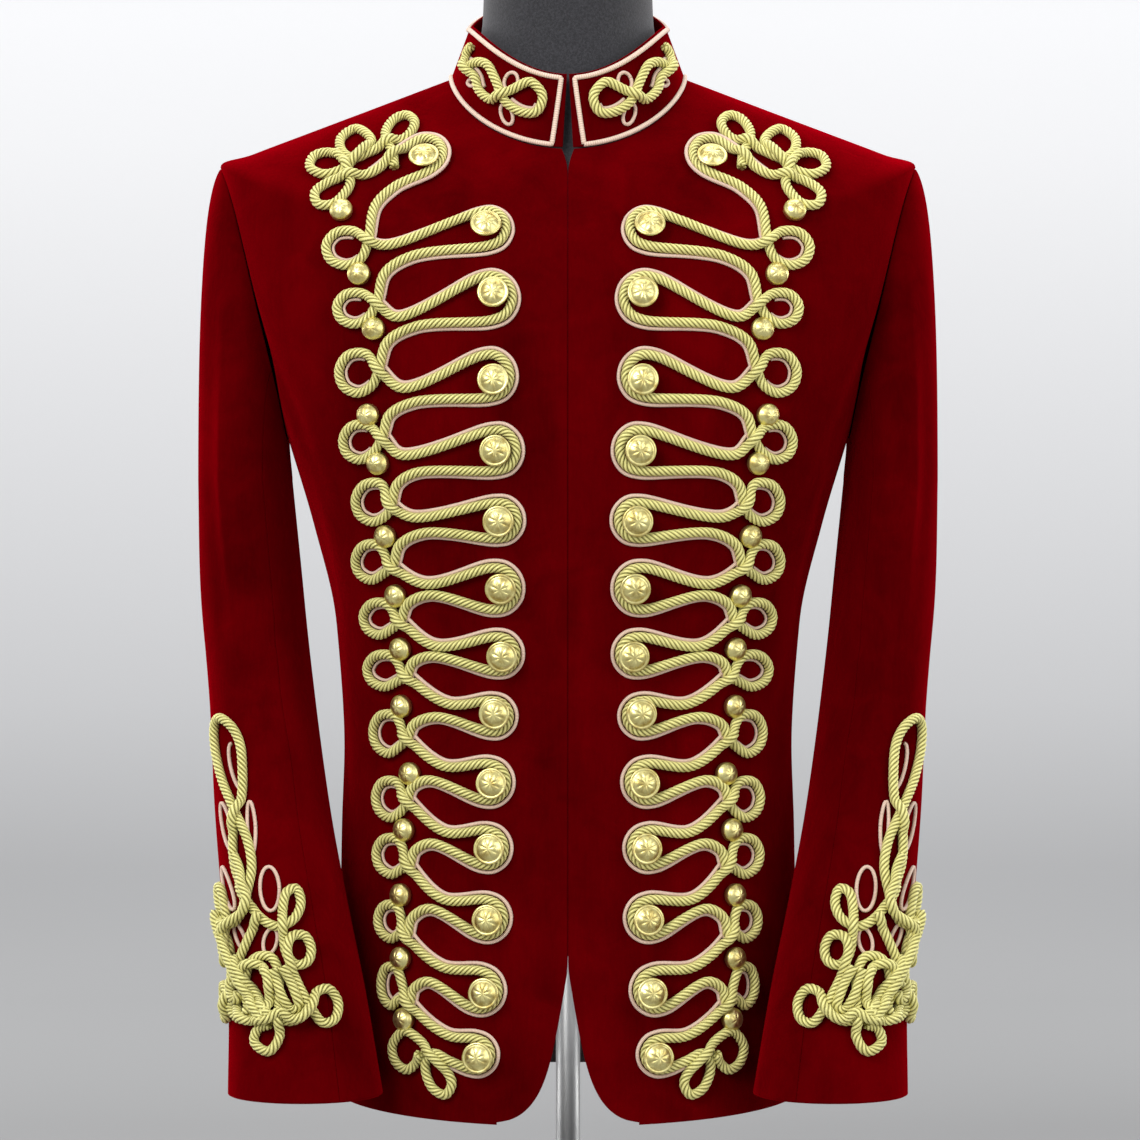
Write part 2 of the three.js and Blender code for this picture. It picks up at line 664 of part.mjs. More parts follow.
// ---- Sleeves ----

const SLEEVE_PLACES = [0, 0.14, 0.34, 0.62, 1, 1.7, 2.4, 3, 3.7, 4.6, 5.8, CUFF];
const TOP_SLEEVE = { from: -120, to: 100, columns: 11 };
const UNDER_SLEEVE = { from: 100, to: 240, columns: 7 };

function sleevePanel({ from, to, columns }) {
  const trim = deg(0.25);
  const grid = (depth) => SLEEVE_PLACES.map((place) =>
    Array.from({ length: columns + 1 }, (unused, j) => {
      const start = deg(from) + trim;
      const end = deg(to) - trim;
      const angle = start + ((end - start) * j) / columns;
      const normal = normalOf(sleevePoint, angle, place, CUFF);
      return sleevePoint(angle, place).addScaledVector(normal, depth);
    }));
  return wall(grid(0), grid(CLOTH));
}

addPair("top_sleeve", sleevePanel(TOP_SLEEVE), MATERIALS.velvet);
addPair("under_sleeve", sleevePanel(UNDER_SLEEVE), MATERIALS.velvet);

// ---- Frogging, knots and buttons ----

// Path of the cord on one front: shoulder knot, fourteen fingers with their side loops,
// and the two loops that end it.
function froggingPath() {
  const path = SHOULDER_KNOT.map(({ x, z }) => [x, z]);
  FINGERS.forEach((finger, i) => {
    if (i > 0) path.push([finger.troughX, finger.troughZ]);
    const middleX = (finger.troughX + finger.humpX) / 2;
    const middleZ = (finger.troughZ + finger.humpZ) / 2;
    const length = Math.hypot(finger.tipX - middleX, finger.tipZ - middleZ);
    const alongX = (finger.tipX - middleX) / length;
    const alongZ = (finger.tipZ - middleZ) / length;
    for (const turn of [100, 60, 20, -20, -60, -100]) {
      const along = finger.tipLong * Math.cos(deg(turn));
      const up = finger.tipHigh * Math.sin(deg(turn));
      path.push([
        finger.tipX + along * alongX + up * alongZ,
        finger.tipZ + along * alongZ - up * alongX,
      ]);
    }
    path.push([finger.humpX, finger.humpZ]);
    if (i === FINGERS.length - 1) return;
    path.push([
      finger.humpX + BEND.across * (finger.crossX - finger.humpX),
      finger.humpZ + BEND.down * (finger.crossZ - finger.humpZ),
    ]);
    path.push([finger.crossX, finger.crossZ]);
    for (const turn of [-50, 0, 50, 100, 150, 205]) {
      path.push([
        finger.loopX + finger.loopWide * Math.sin(deg(turn)),
        finger.loopZ - finger.loopHigh * Math.cos(deg(turn)),
      ]);
    }
    path.push([finger.crossX, finger.crossZ]);
  });
  path.push(...LAST_LOOPS.map(({ x, z }) => [x, z]));
  return path;
}

function turnedAt([point, normal], profile) {
  return turned(profile, BUTTON_SIDES, point, normal);
}

const BEAD_PROFILE = [
  [0, BEAD.foot], [BEAD.base, BEAD.foot], [BEAD.radius, BEAD.edge], [0, BEAD.top],
];
const beads = FINGERS.map(({ beadX, beadZ }) =>
  turnedAt(onFront(beadX, beadZ), BEAD_PROFILE));
const frogging = joined([...cordLengths(froggingPath(), CORD, onFront), ...beads]);
addPair("frogging", frogging, MATERIALS.cord);

const collarKnotPath = COLLAR_KNOT.map(({ angle, rise }) => [angle, 100 * rise]);
addPair("collar_knot", joined(cordLengths(collarKnotPath, CORD, onCollar)), MATERIALS.cord);

const cuffHalf = CUFF_HALF.map(({ across, z }) => [across, z]);
const cuffOther = CUFF_HALF.map(({ across, z }) => [-across, z]);
const cuffArch = CUFF_ARCH.map(({ across, z }) => [across, z]);
addPair("cuff_knot", joined([cuffHalf, cuffOther, cuffArch].flatMap((path) =>
  cordLengths(path, CUFF_CORD, onCuff))), MATERIALS.cord);

const BUTTON_PROFILE = [
  [0, BUTTON.foot], [BUTTON.shank, BUTTON.foot], [BUTTON.shank, BUTTON.underside],
  [BUTTON.radius, BUTTON.edge], [0, BUTTON.top],
];
FINGERS.forEach(({ buttonX, buttonZ }, i) => {
  const button = turnedAt(onFront(buttonX, buttonZ), BUTTON_PROFILE);
  addPair("button", button, MATERIALS.button, `_${String(i + 1).padStart(2, "0")}`);
});

// ---- Dress form and stand ----

const FORM_BOTTOM = 216;
// Rows of the body that the form follows, and how far it lies inside the jacket's outside.
// The cloth rests on it over the shoulders, where its points are the panels' own.
const FORM_ROWS = table(
  ["row", "inside"],
  [2, 8], [3, 7], [4.2, 7], [5.2, 6.5], [6, 6.5], [7, 6], [7.7, 5], [8.5, 3], [9, 2.4],
  [9.6, 2.35], [10.2, 2.4], [10.65, 3],
);
const ARM_PLATE = { x: 190, soft: 5 };

// Angles all round the form, at the same places as the columns of the panels.
function formAngles() {
  const side = [];
  for (let i = 0; i < FRONT_COLUMNS; i += 1) side.push((90 * i) / FRONT_COLUMNS);
  for (let i = 0; i < BACK_COLUMNS; i += 1) side.push(90 + (90 * i) / BACK_COLUMNS);
  const other = side.slice(1).map((angle) => 360 - angle).reverse();
  return [...side, 180, ...other].map(deg);
}

function formRing({ row, inside }) {
  return formAngles().map((angle) => {
    const point = bodyPoint(angle, row).addScaledVector(bodyNormal(angle, row), -inside);
    const beyond = (Math.abs(point.x) - ARM_PLATE.x) / ARM_PLATE.soft;
    point.x -= Math.sign(point.x) * ARM_PLATE.soft * Math.log(1 + Math.exp(beyond));
    return point;
  });
}

function level(ring, z) {
  return ring.map((point) => vector(point.x, point.y, z));
}

const neckLoop = (ring) => formAngles().map((angle) => ringPoint(ring, angle));

add("form_body", loft([
  level(formRing({ row: 1.25, inside: 12 }), FORM_BOTTOM),
  level(formRing({ row: 1.4, inside: 9 }), FORM_BOTTOM + 12),
  ...FORM_ROWS.map(formRing),
  ...NECK_RINGS.map(neckLoop),
]), MATERIALS.form);

const up = vector(0, 0, 1);
const poleBottom = BASE.dome + SEAM;
const poleTop = FORM_BOTTOM - SEAM;
add("stand_pole", turned([
  [0, poleBottom], [POLE_RADIUS, poleBottom], [POLE_RADIUS, poleTop - FLANGE.height],
  [FLANGE.radius, poleTop - FLANGE.height / 2], [FLANGE.radius, poleTop], [0, poleTop],
], 16, vector(0, 0, 0), up), MATERIALS.steel);

add("stand_base", turned([
  [0, 0], [BASE.radius, 0], [BASE.radius, BASE.height / 2], [BASE.edge, BASE.height],
  [0, BASE.dome],
], 32, vector(0, 0, 0), up), MATERIALS.steel);

export default group;
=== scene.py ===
"""A hussar jacket on a limbless dress form: velvet, twisted cord, gimp and domed buttons.

Sizes are in millimetres, apart from the stage's, and the scene is in metres. +Z is up, the
jacket faces -Y and +X is the wearer's left.
"""

import math

import bpy
import mathutils
import numpy as np
from bpy.props import FloatProperty, FloatVectorProperty, PointerProperty
from bpy.types import Operator, Panel, PropertyGroup
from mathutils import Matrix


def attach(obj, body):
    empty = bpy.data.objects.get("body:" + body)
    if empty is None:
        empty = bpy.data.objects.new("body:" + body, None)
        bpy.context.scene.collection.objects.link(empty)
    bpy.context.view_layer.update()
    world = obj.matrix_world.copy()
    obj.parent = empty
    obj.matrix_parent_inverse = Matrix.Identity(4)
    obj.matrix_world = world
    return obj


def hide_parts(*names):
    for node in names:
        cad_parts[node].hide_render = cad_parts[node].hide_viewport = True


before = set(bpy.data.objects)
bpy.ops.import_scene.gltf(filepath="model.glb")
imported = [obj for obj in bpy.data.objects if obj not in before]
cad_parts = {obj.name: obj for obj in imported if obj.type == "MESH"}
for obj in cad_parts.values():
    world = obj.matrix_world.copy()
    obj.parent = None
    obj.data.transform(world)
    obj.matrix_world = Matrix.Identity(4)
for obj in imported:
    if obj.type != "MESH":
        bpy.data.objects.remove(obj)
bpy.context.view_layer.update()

bl_info = {
    "name": "Hussar jacket",
    "version": (1, 0, 0),
    "blender": (4, 5, 0),
    "location": "3D View > Sidebar > Jacket",
    "description": "Builds a frogged velvet jacket on its dress form",
    "category": "Object",
}

MM = 0.001
CLOTH = 2.0  # wall of every cloth piece
SEAM = 0.3  # clear gap between neighbouring pieces
EDGE_ROUND = 0.9  # radius of every cloth edge
CORD_STEP = 1.3  # distance between the points along a cord
STRANDS = 5  # in the twisted cord
GIMP_SIDES = 8
CURVE_STEPS = 16  # points on a curve for each point that is given
NUDGE = 1e-4  # how far a surface is followed to find its slope
CORD_UV = "along_and_round"
SIDES = ("left", "right")


def table(columns, *rows):
    """Rows of numbers under named columns."""
    names = columns.split()
    return [dict(zip(names, row)) for row in rows]


# ---- Sizes of the body, sleeves and collar ----

BODY_RINGS = table(
    "half front back z_front z_side z_back square_front square_back dip",
    (152, 117, 115, 110, 118, 122, 0.02, 0.02, 2),  # hem
    (150, 116, 114, 196, 200, 203, 0.02, 0.02, 2),  # skirt
    (149, 113, 108, 282, 283, 285, 0.02, 0.02, 2),  # hip
    (147, 111, 101, 355, 355, 357, 0.02, 0.02, 2),  # waist
    (152, 117, 106, 425, 425, 428, 0.03, 0.02, 2),  # ribs
    (167, 126, 115, 490, 490, 495, 0.04, 0.03, 2),  # chest
    (184, 128, 121, 548, 547, 560, 0.045, 0.04, 2),  # armpit
    (212, 125, 123, 606, 640, 640, 0.045, 0.04, 2),  # blade
    (229, 113, 112, 664, 726, 716, 0.03, 0.03, 2),  # shoulder point
    (207, 104, 102, 681, 735, 740, 0.03, 0.03, 1.9),  # shoulder edge
    (150, 92, 85, 704, 757, 768, 0.02, 0.02, 1.6),  # shoulder slope
    (77, 73, 58, 731.5, 785, 803, 0, 0, 1.2),  # neck seam
)
ARMPIT, SHOULDER, NECK = 6, 8, 11

SLEEVE_RINGS = table(
    "z x y wide deep square",
    (520, 212, 2, 29.5, 76, 0.02),
    (440, 207, -3, 33, 72, 0.02),
    (375, 200, -14, 34, 68, 0.02),
    (309, 192, -36, 36.7, 64, 0.02),
    (248, 182, -66, 40, 58, 0.02),
    (187, 172, -90, 44, 53, 0.01),
    (130, 166, -108, 49, 50, 0),
)
CUFF = len(SLEEVE_RINGS)

# Folds and creases of the sleeve: place round the arm, height, half sizes and depth. Each
# leans by so many degrees for every 100 mm of height.
SLEEVE_CREASES = table(
    "angle z spread reach lean depth",
    (-62, 600, 16, 130, 0, -2.6),
    (-35, 570, 16, 150, 0, 2.2),
    (-80, 420, 20, 60, 0, -2.4),
    (-112, 380, 24, 26, 0, -3.2),
    (-100, 335, 24, 24, 0, 2.6),
    (80, 400, 22, 90, 0, -2.2),
    (50, 560, 18, 140, 0, -2.2),
    (-66, 525, 5, 150, 12.5, 2.1),
    (-51, 510, 7, 140, 12, -1.2),
    (-30, 440, 8, 150, 6, 1.1),
    (-20, 300, 9, 90, 6, 1.0),
    (-72, 640, 6, 60, 8, -1.2),
    (-95, 300, 14, 9, 0, -1.9),
    (-70, 352, 12, 8, 0, -1.3),
    (-120, 415, 16, 10, 0, -1.8),
    (12, 380, 10, 80, -8, -1.4),
    (100, 330, 15, 30, 10, -1.9),
    (125, 470, 12, 70, -6, -2.1),
    (150, 280, 16, 40, 6, -1.7),
    (64, 250, 12, 60, -6, 0.9),
)
# Shallow troughs and ridges of the body, placed by angle and height in the same way.
BODY_CREASES = table(
    "angle z spread reach lean depth",
    (66, 575, 5, 70, 10, -1.6),
    (72, 480, 5, 60, -8, -1.1),
    (58, 640, 6, 40, 14, 1.0),
    (80, 330, 8, 30, 20, -1.0),
    (20, 690, 9, 14, 0, -1.2),
    (12, 655, 10, 10, 0, 0.6),
    (50, 220, 8, 60, 5, -0.8),
    (84, 200, 7, 60, -4, 1.0),
    (92, 400, 6, 90, 9, 1.3),
    (124, 300, 7, 80, -7, 1.4),
    (152, 520, 6, 110, 6, 1.2),
    (116, 600, 7, 60, -10, -1.6),
    (104, 420, 8, 50, 8, -1.1),
    (140, 360, 12, 14, 0, -1.0),
    (160, 400, 12, 12, 0, -0.8),
    (150, 680, 10, 40, 12, -1.2),
    (130, 200, 8, 60, 5, 1.1),
    (165, 190, 7, 50, 0, -1.0),
)

ARMHOLE = {"front": 22, "back": 26}
CUTAWAY = {"apex": 210, "height": 98, "flare": 18, "round": 27}
NOTCH = {"from": 714, "height": 18, "width": 4}
COLLAR_TOP = {
    "half": 64.5, "front": 68, "back": 60, "z_front": 780, "z_side": 819, "z_back": 848,
    "dip_back": 1.2,
}
COLLAR_GAP = {"below": 3.4, "above": 0.7}

FORM_BOTTOM = 216
# Rows of the body that the form follows, and how far inside the cloth it lies at each.
FORM_ROWS = (
    (2, 8), (3, 7), (4.2, 7), (5.2, 6.5), (6, 6.5), (7, 6), (7.7, 5), (8.5, 3), (9, 2.6),
    (9.6, 2.55), (10.2, 2.6), (10.65, 3.1),
)
ARM_PLATE = {"x": 190, "soft": 5}
NECK_RINGS = table(
    "half front back z_front z_side z_back dip",
    (71, 67, 52, 729, 783, 800, 1.2),
    (62, 62, 51.5, 757, 802, 824, 1.5),
    (56.5, 59, 51, 782, 820, 847, 2),
    (55.4, 57, 49, 836, 852, 868, 2),
    (55, 56, 48, 881.5, 881.5, 881.5, 2),
    (54, 55, 47, 884.2, 884.2, 884.2, 2),
    (51.5, 52.5, 44.5, 885, 885, 885, 2),
)

# ---- Places of the cord and buttons ----

# A row for each finger of cord on a front, from the shoulder down.
FINGERS = table(
    "tip_x tip_z tip_long tip_high button_x button_z trough_x trough_z hump_x "
    "hump_z cross_x cross_z loop_x loop_z loop_wide loop_high bead_x bead_z",
    (92.1, 725, 12.4, 11.4, 91.4, 720.6, 114.6, 718.1, 110.4, 703.4, 125.9, 668.1, 140,
     664.6, 12.6, 11.2, 143.7, 688.3),
    (50.8, 676.1, 11.6, 11.6, 51.6, 675.3, 113.5, 665.7, 98.2, 658.4, 120, 628.9, 134, 626.3,
     11.1, 9.9, 131.4, 647.8),
    (49, 631.7, 14.1, 14.1, 46.7, 634, 107.5, 620.1, 95, 614.2, 118.2, 587.8, 131.6, 585.9,
     11.9, 12.8, 121.9, 613.2),
    (48.9, 582.9, 12.6, 13.4, 46.4, 580, 103.9, 575.6, 96.3, 566.7, 115.9, 545.1, 130.2,
     542.5, 10.7, 11.3, 125, 559),
    (44.3, 536.3, 11.9, 12.7, 44.9, 536, 104.7, 533.8, 95.4, 522.4, 110, 502.5, 121.7, 504.6,
     11.4, 12.5, 118.9, 528.9),
    (42.8, 492.4, 11.1, 11.1, 42.8, 492, 97.5, 494.6, 90.1, 484.8, 109.4, 464.3, 123.2, 467,
     10.3, 11.6, 114.1, 482.8),
    (45.3, 449.8, 13.2, 13.2, 41.3, 450.5, 89.2, 452.8, 86.7, 445.9, 104.5, 429.2, 118.5,
     430.7, 10.2, 10.7, 107.9, 445.3),
    (43.4, 408.3, 10.9, 10.9, 40.4, 407.4, 83.4, 413.4, 85.9, 407, 100.6, 394.1, 115.5,
     397.3, 11.1, 10.6, 105, 411.2),
    (46.7, 368.7, 10, 10, 44.9, 370.8, 75, 376.4, 82.6, 368, 100.3, 354, 113.1, 356.6, 9.7,
     13, 104.5, 374.4),
    (50, 326.9, 11.6, 11.6, 46.8, 326.1, 77.8, 336.6, 87.3, 327.5, 100.4, 314.4, 111.8,
     314.7, 9.3, 12.1, 99.1, 331.2),
    (50.9, 285.3, 11.1, 11.1, 48.2, 284.9, 76.9, 294.8, 85.7, 287.5, 99.1, 272.6, 111.1,
     278.4, 9.8, 11.8, 102.8, 295.3),
    (51.3, 241.3, 11.2, 11.2, 49.3, 240, 78.5, 252.5, 86.7, 246.1, 100.7, 228.1, 111.3,
     236.7, 8.7, 11.1, 104.9, 253.8),
    (55.5, 195.8, 11.9, 11.9, 51.4, 194.1, 78.8, 209.6, 87.6, 200, 99.1, 185.7, 111, 195.8,
     6.8, 12.8, 104.9, 213.6),
    (58, 155.2, 9.8, 9.8, 55.2, 153.6, 75.3, 166.6, 74.6, 150.8, 86.8, 156.7, 0, 0, 0, 0,
     102.7, 175.2),
)
# Points (x, z) that the cord passes before and after the fingers.
SHOULDER_KNOT = (
    (110.8, 717), (111.9, 725.5), (115.2, 733.1), (117.6, 741.2), (112.1, 751.5),
    (104.2, 754.1), (98.9, 748.7), (103.5, 738.5), (115.2, 733.1), (126.3, 728),
    (137.4, 723.5), (145, 728.4), (146.6, 737.7), (137, 745), (126.3, 735.7),
    (132.6, 724.7), (149, 713.8), (157.9, 712.9), (165.4, 717.9), (163.4, 725.3),
    (153.6, 727.9), (146.5, 723.9), (141.2, 716.3), (138.8, 705.8), (142.7, 698.3),
    (149.2, 692.3), (158.7, 692.8), (161.3, 699.5), (151.7, 707.6), (142.9, 709.9),
    (135.1, 710.9), (125.3, 713.4),
)
LAST_LOOPS = (
    (83.7, 154.8), (88.4, 151), (88.5, 141.3), (83.8, 132.1), (76.5, 129), (72.4, 136.5),
    (77.2, 146.1), (86.8, 156.7), (94.7, 164.3), (102.6, 167.6), (110.2, 157.5),
    (107.5, 146.9), (100.6, 143.3), (94.3, 148.8), (91, 154.5),
)
# Points of the collar's knot: angle and percent of the collar's height.
COLLAR_KNOT = (
    (63.9, 43), (61, 54), (54.1, 68), (47.6, 72), (41.5, 63), (36.4, 50), (32, 40),
    (23.9, 36), (17.5, 39), (13.6, 53), (14.1, 70), (19.9, 79), (28.5, 63), (35.5, 45),
    (42.3, 33), (49.9, 35), (54.8, 46), (60.5, 48), (66.6, 55), (67, 68), (64, 79),
)
# Points of the cuff's knot: distance across from its middle and height.
CUFF_HALF = (
    (0, 366), (8, 361), (12, 346), (9.4, 329), (5, 316), (-1, 302), (-5.5, 288), (-6, 273),
    (-1.5, 259), (6.5, 243), (16.6, 236.7), (26.9, 240.8), (32.5, 250.7), (30.6, 259.3),
    (25.2, 257.5), (21.4, 247), (19.8, 232), (20.4, 219), (25, 213.2), (32, 215.5),
    (34.9, 223.4), (32.2, 230.6), (25.5, 230.8), (21, 223.4), (22, 209.5), (26, 196.6),
    (30.4, 186.5), (36.7, 177.9), (44.6, 180.1), (47.6, 189.8), (42.2, 198), (34.4, 196.3),
    (28.7, 185.6), (18.6, 179.6), (8.9, 181), (-2, 185),
)
CUFF_ARCH = (
    (-8, 182), (-10, 196), (-6, 210.5), (2, 218), (10.5, 218), (14, 208), (12, 195),
    (10.8, 181), (10, 169.6), (2.6, 160.9), (-6.5, 166), (-3, 174.5), (5, 177),
)
# Strands that lie over the middle of the cuff's knot.
CUFF_STRANDS = (
    ((-3, 279), (-1, 272), (0, 266), (2, 258), (3, 252), (0, 246), (-7, 241), (-15, 236),
     (-21, 230)),
    ((8, 244), (4, 238), (-1, 231), (-6, 224), (-11, 217), (-14, 210)),
    ((17, 211), (20, 203), (22, 195), (23, 188), (19, 186), (15, 192), (13, 201), (12, 210)),
    ((-22, 190), (-15, 183), (-8, 179), (-1, 179), (6, 180), (13, 184), (18, 180), (24, 181),
     (28, 186)),
    ((-17, 206), (-21, 200), (-20, 193), (-15, 191), (-12, 196)),
    ((-13, 199), (-10, 207), (-4, 213), (3, 213), (8, 207), (8, 198), (6, 189), (3, 182)),
    ((-13, 217), (-9, 208), (-4, 199), (1, 190), (7, 182)),
    ((-25, 244), (-23, 237), (-18, 225), (-13, 211), (-8, 200), (-3, 189), (3, 179)),
)
# Where the middle of the cuff's knot lies round the sleeve at some heights.
CUFF_AXIS = {"z": (155, 250, 315, 366), "angle": (-67, -65, -64, -52)}
# Loops of thin cord round the knots: middle, half sizes, lean, start and sweep in degrees.
CUFF_GIMP = table(
    "across up half_across half_up lean start sweep",
    (15, 260, 6, 13.5, -6, 0, 360),
    (-13, 297, 5.5, 15.5, 16, 0, 360),
    (-20, 259, 5.5, 14, 26, 0, 360),
    (8, 298, 2.6, 16, -4, 0, 360),
    (-11, 230, 4, 8.5, 24, 0, 360),
    (11, 228, 4, 8.5, -24, 0, 360),
    (5, 335, 5, 15, 4, 90, 180),
)
COLLAR_GIMP = table(
    "across up half_across half_up lean start sweep",
    (32, 69, 3.8, 13, 6, 0, 360),
    (32, 26, 3.6, 12, -6, 0, 360),
    (57.5, 37, 2.6, 8.5, 25, 0, 360),
)
# Where the lower strand turns down to the crossing, as shares of the way there.
BEND = {"across": 0.78, "down": 0.36}

# ---- The stage, whose places and sizes are in metres ----

# The lens and its sensor are in millimetres, as Blender takes them.
CAMERA = {"place": (0.00132, -2.6, 0.461), "lens": 124.4, "sensor": 36}
LIGHTS = table(
    "name energy size place aim",
    ("key_light", 62, 1.6, (-1.5, -2.3, 1.9), (0, 0, 0.5)),
    ("fill_light", 34, 2.2, (2.2, -2.0, 1.2), (0, 0, 0.45)),
    ("top_light", 26, 1.8, (0, 0.4, 2.4), (0, 0, 0.6)),
    ("left_rim_light", 20, 1.0, (-2.0, 1.1, 1.1), (0, 0, 0.5)),
    ("right_rim_light", 20, 1.0, (2.0, 1.1, 1.1), (0, 0, 0.5)),
)
COVE = {"half": 5, "front": -4.5, "back": 4.6, "top": 4.5, "bend": 1.2}
# The backdrop's colour is painted light: it fades from grey at the floor to pale above, along
# straight lines that fan out from one level line in front of the jacket.
FADE = {
    "y": -2.6, "z": 0.461, "nearest": 0.5, "slope": 0.145,
    "greys": (
        (0.013, 0.193), (0.123, 0.244), (0.386, 0.467), (0.649, 0.636), (0.868, 0.78),
        (0.981, 0.835),
    ),
}


# ---- Surfaces ----

def unit(vectors):
    return vectors / np.linalg.norm(vectors, axis=-1, keepdims=True)


def length_along(points):
    """Length of a line up to each of its points."""
    return np.concatenate([[0], np.cumsum(np.linalg.norm(np.diff(points, axis=0), axis=1))])


def cubic(t, start, leave, end, arrive):
    """A smooth way from start to end, which leaves and arrives with the slopes given."""
    return (
        start * (2 * t**3 - 3 * t**2 + 1) + leave * (t**3 - 2 * t**2 + t)
        + end * (3 * t**2 - 2 * t**3) + arrive * (t**3 - t**2)
    )


def glide(values):
    """Smooth values at a fractional row of an array, without overshoot."""
    values = np.asarray(values, float)
    steps = np.diff(values, axis=0)
    slopes = np.empty_like(values)
    slopes[0], slopes[-1] = steps[0], steps[-1]
    total = steps[:-1] + steps[1:]
    safe = np.where(total == 0, 1, total)
    slopes[1:-1] = np.where(steps[:-1] * steps[1:] > 0, 2 * steps[:-1] * steps[1:] / safe, 0)

    def at(place):
        place = np.asarray(place, float)
        i = np.clip(np.floor(place).astype(int), 0, len(values) - 2)
        t = (place - i).reshape(place.shape + (1,) * (values.ndim - 1))
        return cubic(t, values[i], slopes[i], values[i + 1], slopes[i + 1])

    return at


def track(rows):
    """Smooth named values of a table at a fractional row."""
    names = list(rows[0])
    at = glide([[row[name] for name in names] for row in rows])
    return lambda place: dict(zip(names, np.moveaxis(at(place), -1, 0)))


def ring_point(ring, angle):
    """Point of a level ring: angle 0 is the centre front, 90 degrees the left side."""
    angle = np.asarray(angle, float)
    in_front = np.cos(angle) >= 0
    depth = np.where(in_front, ring["front"], ring["back"])
    square = np.where(in_front, ring.get("square_front", 0), ring.get("square_back", 0))
    height = np.where(in_front, ring["z_front"], ring["z_back"])
    dip = np.where(in_front, ring.get("dip", 2), ring.get("dip_back", 2))
    x = ring["half"] * (np.sin(angle) + square * np.sin(3 * angle)) / (1 - square)
    y = -depth * (np.cos(angle) - square * np.cos(3 * angle)) / (1 - square)
    z = ring["z_side"] + (height - ring["z_side"]) * np.abs(np.cos(angle)) ** dip
    return np.stack([x, y, z + 0 * x], -1)


def surface_normal(surface, u, v, low, high):
    """Unit normal of a surface given as a function of two numbers."""
    u, v = np.broadcast_arrays(np.asarray(u, float), np.asarray(v, float))
    h = 1e-3
    along = surface(u + h, v) - surface(u - h, v)
    up = surface(u, np.minimum(v + h, high)) - surface(u, np.maximum(v - h, low))
    return unit(np.cross(along, up))


def creased(creases, angle, z):
    """Depth of a table of creases at an angle and height."""
    total = np.zeros(np.broadcast(angle, z).shape)
    for fold in creases:
        rise = z - fold["z"]
        middle = np.radians(fold["angle"] + fold["lean"] * rise / 100)
        turn = np.arctan2(np.sin(angle - middle), np.cos(angle - middle))
        across = turn / np.radians(fold["spread"])
        total += fold["depth"] * np.exp(-across**2 - (rise / fold["reach"]) ** 2)
    return total


body_ring = track(BODY_RINGS)
sleeve_ring = track(SLEEVE_RINGS)


def plain_body(angle, row):
    """The body as it is cut, before its creases."""
    return ring_point(body_ring(row), angle)


def plain_body_normal(angle, row):
    return surface_normal(plain_body, angle, row, 0, NECK)


def body_point(angle, row):
    angle, row = np.broadcast_arrays(np.asarray(angle, float), np.asarray(row, float))
    point = plain_body(angle, row)
    depth = creased(BODY_CREASES, angle, point[..., 2])
    return point + plain_body_normal(angle, row) * depth[..., None]


def body_normal(angle, row):
    return surface_normal(body_point, angle, row, 0, NECK)


def arm_point(angle, place):
    """The sleeve below the upper arm. Angle 0 is outward, -90 degrees the front."""
    ring = sleeve_ring(place)
    fold = creased(SLEEVE_CREASES, angle, ring["z"])
    square = ring["square"]
    wide = ring["wide"] * (np.cos(angle) - square * np.cos(3 * angle)) / (1 - square)
    deep = ring["deep"] * (np.sin(angle) + square * np.sin(3 * angle)) / (1 - square)
    return np.stack([
        ring["x"] + wide + fold * np.cos(angle),
        ring["y"] + deep + fold * np.sin(angle),
        ring["z"] + 0 * wide,
    ], -1)


def sleeve_point(angle, place):
    """The sleeve from the armhole (0) over the cap (1 is the upper arm) to the cuff (7)."""
    angle, place = np.broadcast_arrays(np.asarray(angle, float), np.asarray(place, float))
    width = np.where(np.sin(angle) < 0, -ARMHOLE["front"], ARMHOLE["back"])
    body_angle = np.radians(90 + width * np.abs(np.sin(angle)))
    row = (ARMPIT + SHOULDER) / 2 + np.cos(angle)
    seam = plain_body(body_angle, row)
    normal = plain_body_normal(body_angle, row)
    inward = plain_body(np.radians(90), (ARMPIT + SHOULDER) / 2) - seam
    inward = unit(inward - normal * np.sum(inward * normal, -1, keepdims=True))
    seam = seam + inward * 2 * SEAM + normal * (0.25 * (1 - np.cos(angle)))[..., None]
    arm = arm_point(angle, np.zeros_like(place))
    span = np.linalg.norm(arm - seam, axis=-1)
    leave = np.stack([0.22 * span, 0.15 * np.sin(angle) * span, -0.3 * span], -1)
    arrive = np.stack([0 * span, 0 * span, -span], -1)
    cap = cubic(np.clip(place, 0, 1)[..., None], seam, leave, arm, arrive)
    return np.where(place[..., None] >= 1, arm_point(angle, np.maximum(place - 1, 0)), cap)


def sleeve_normal(angle, place):
    return -surface_normal(sleeve_point, angle, place, 0, CUFF)


def collar_point(angle, rise):
    """The collar band from the neck seam (0) to its upper edge (1)."""
    seam = ring_point(BODY_RINGS[NECK], angle)
    seam[..., 2] += 2.4 * SEAM
    share = np.asarray(rise, float)[..., None]
    return seam * (1 - share) + ring_point(COLLAR_TOP, angle) * share


def collar_normal(angle, rise):
    return surface_normal(collar_point, angle, rise, 0, 1)


def angle_at(surface, x, row):
    """Angle at which a row of a surface has the wanted x."""
    angle = x / surface(np.full(np.shape(row), math.pi / 2), row)[..., 0]
    for step in range(8):
        here = surface(angle, row)[..., 0]
        slope = (surface(angle + NUDGE, row)[..., 0] - here) / NUDGE
        angle = angle + (x - here) / slope
    return angle


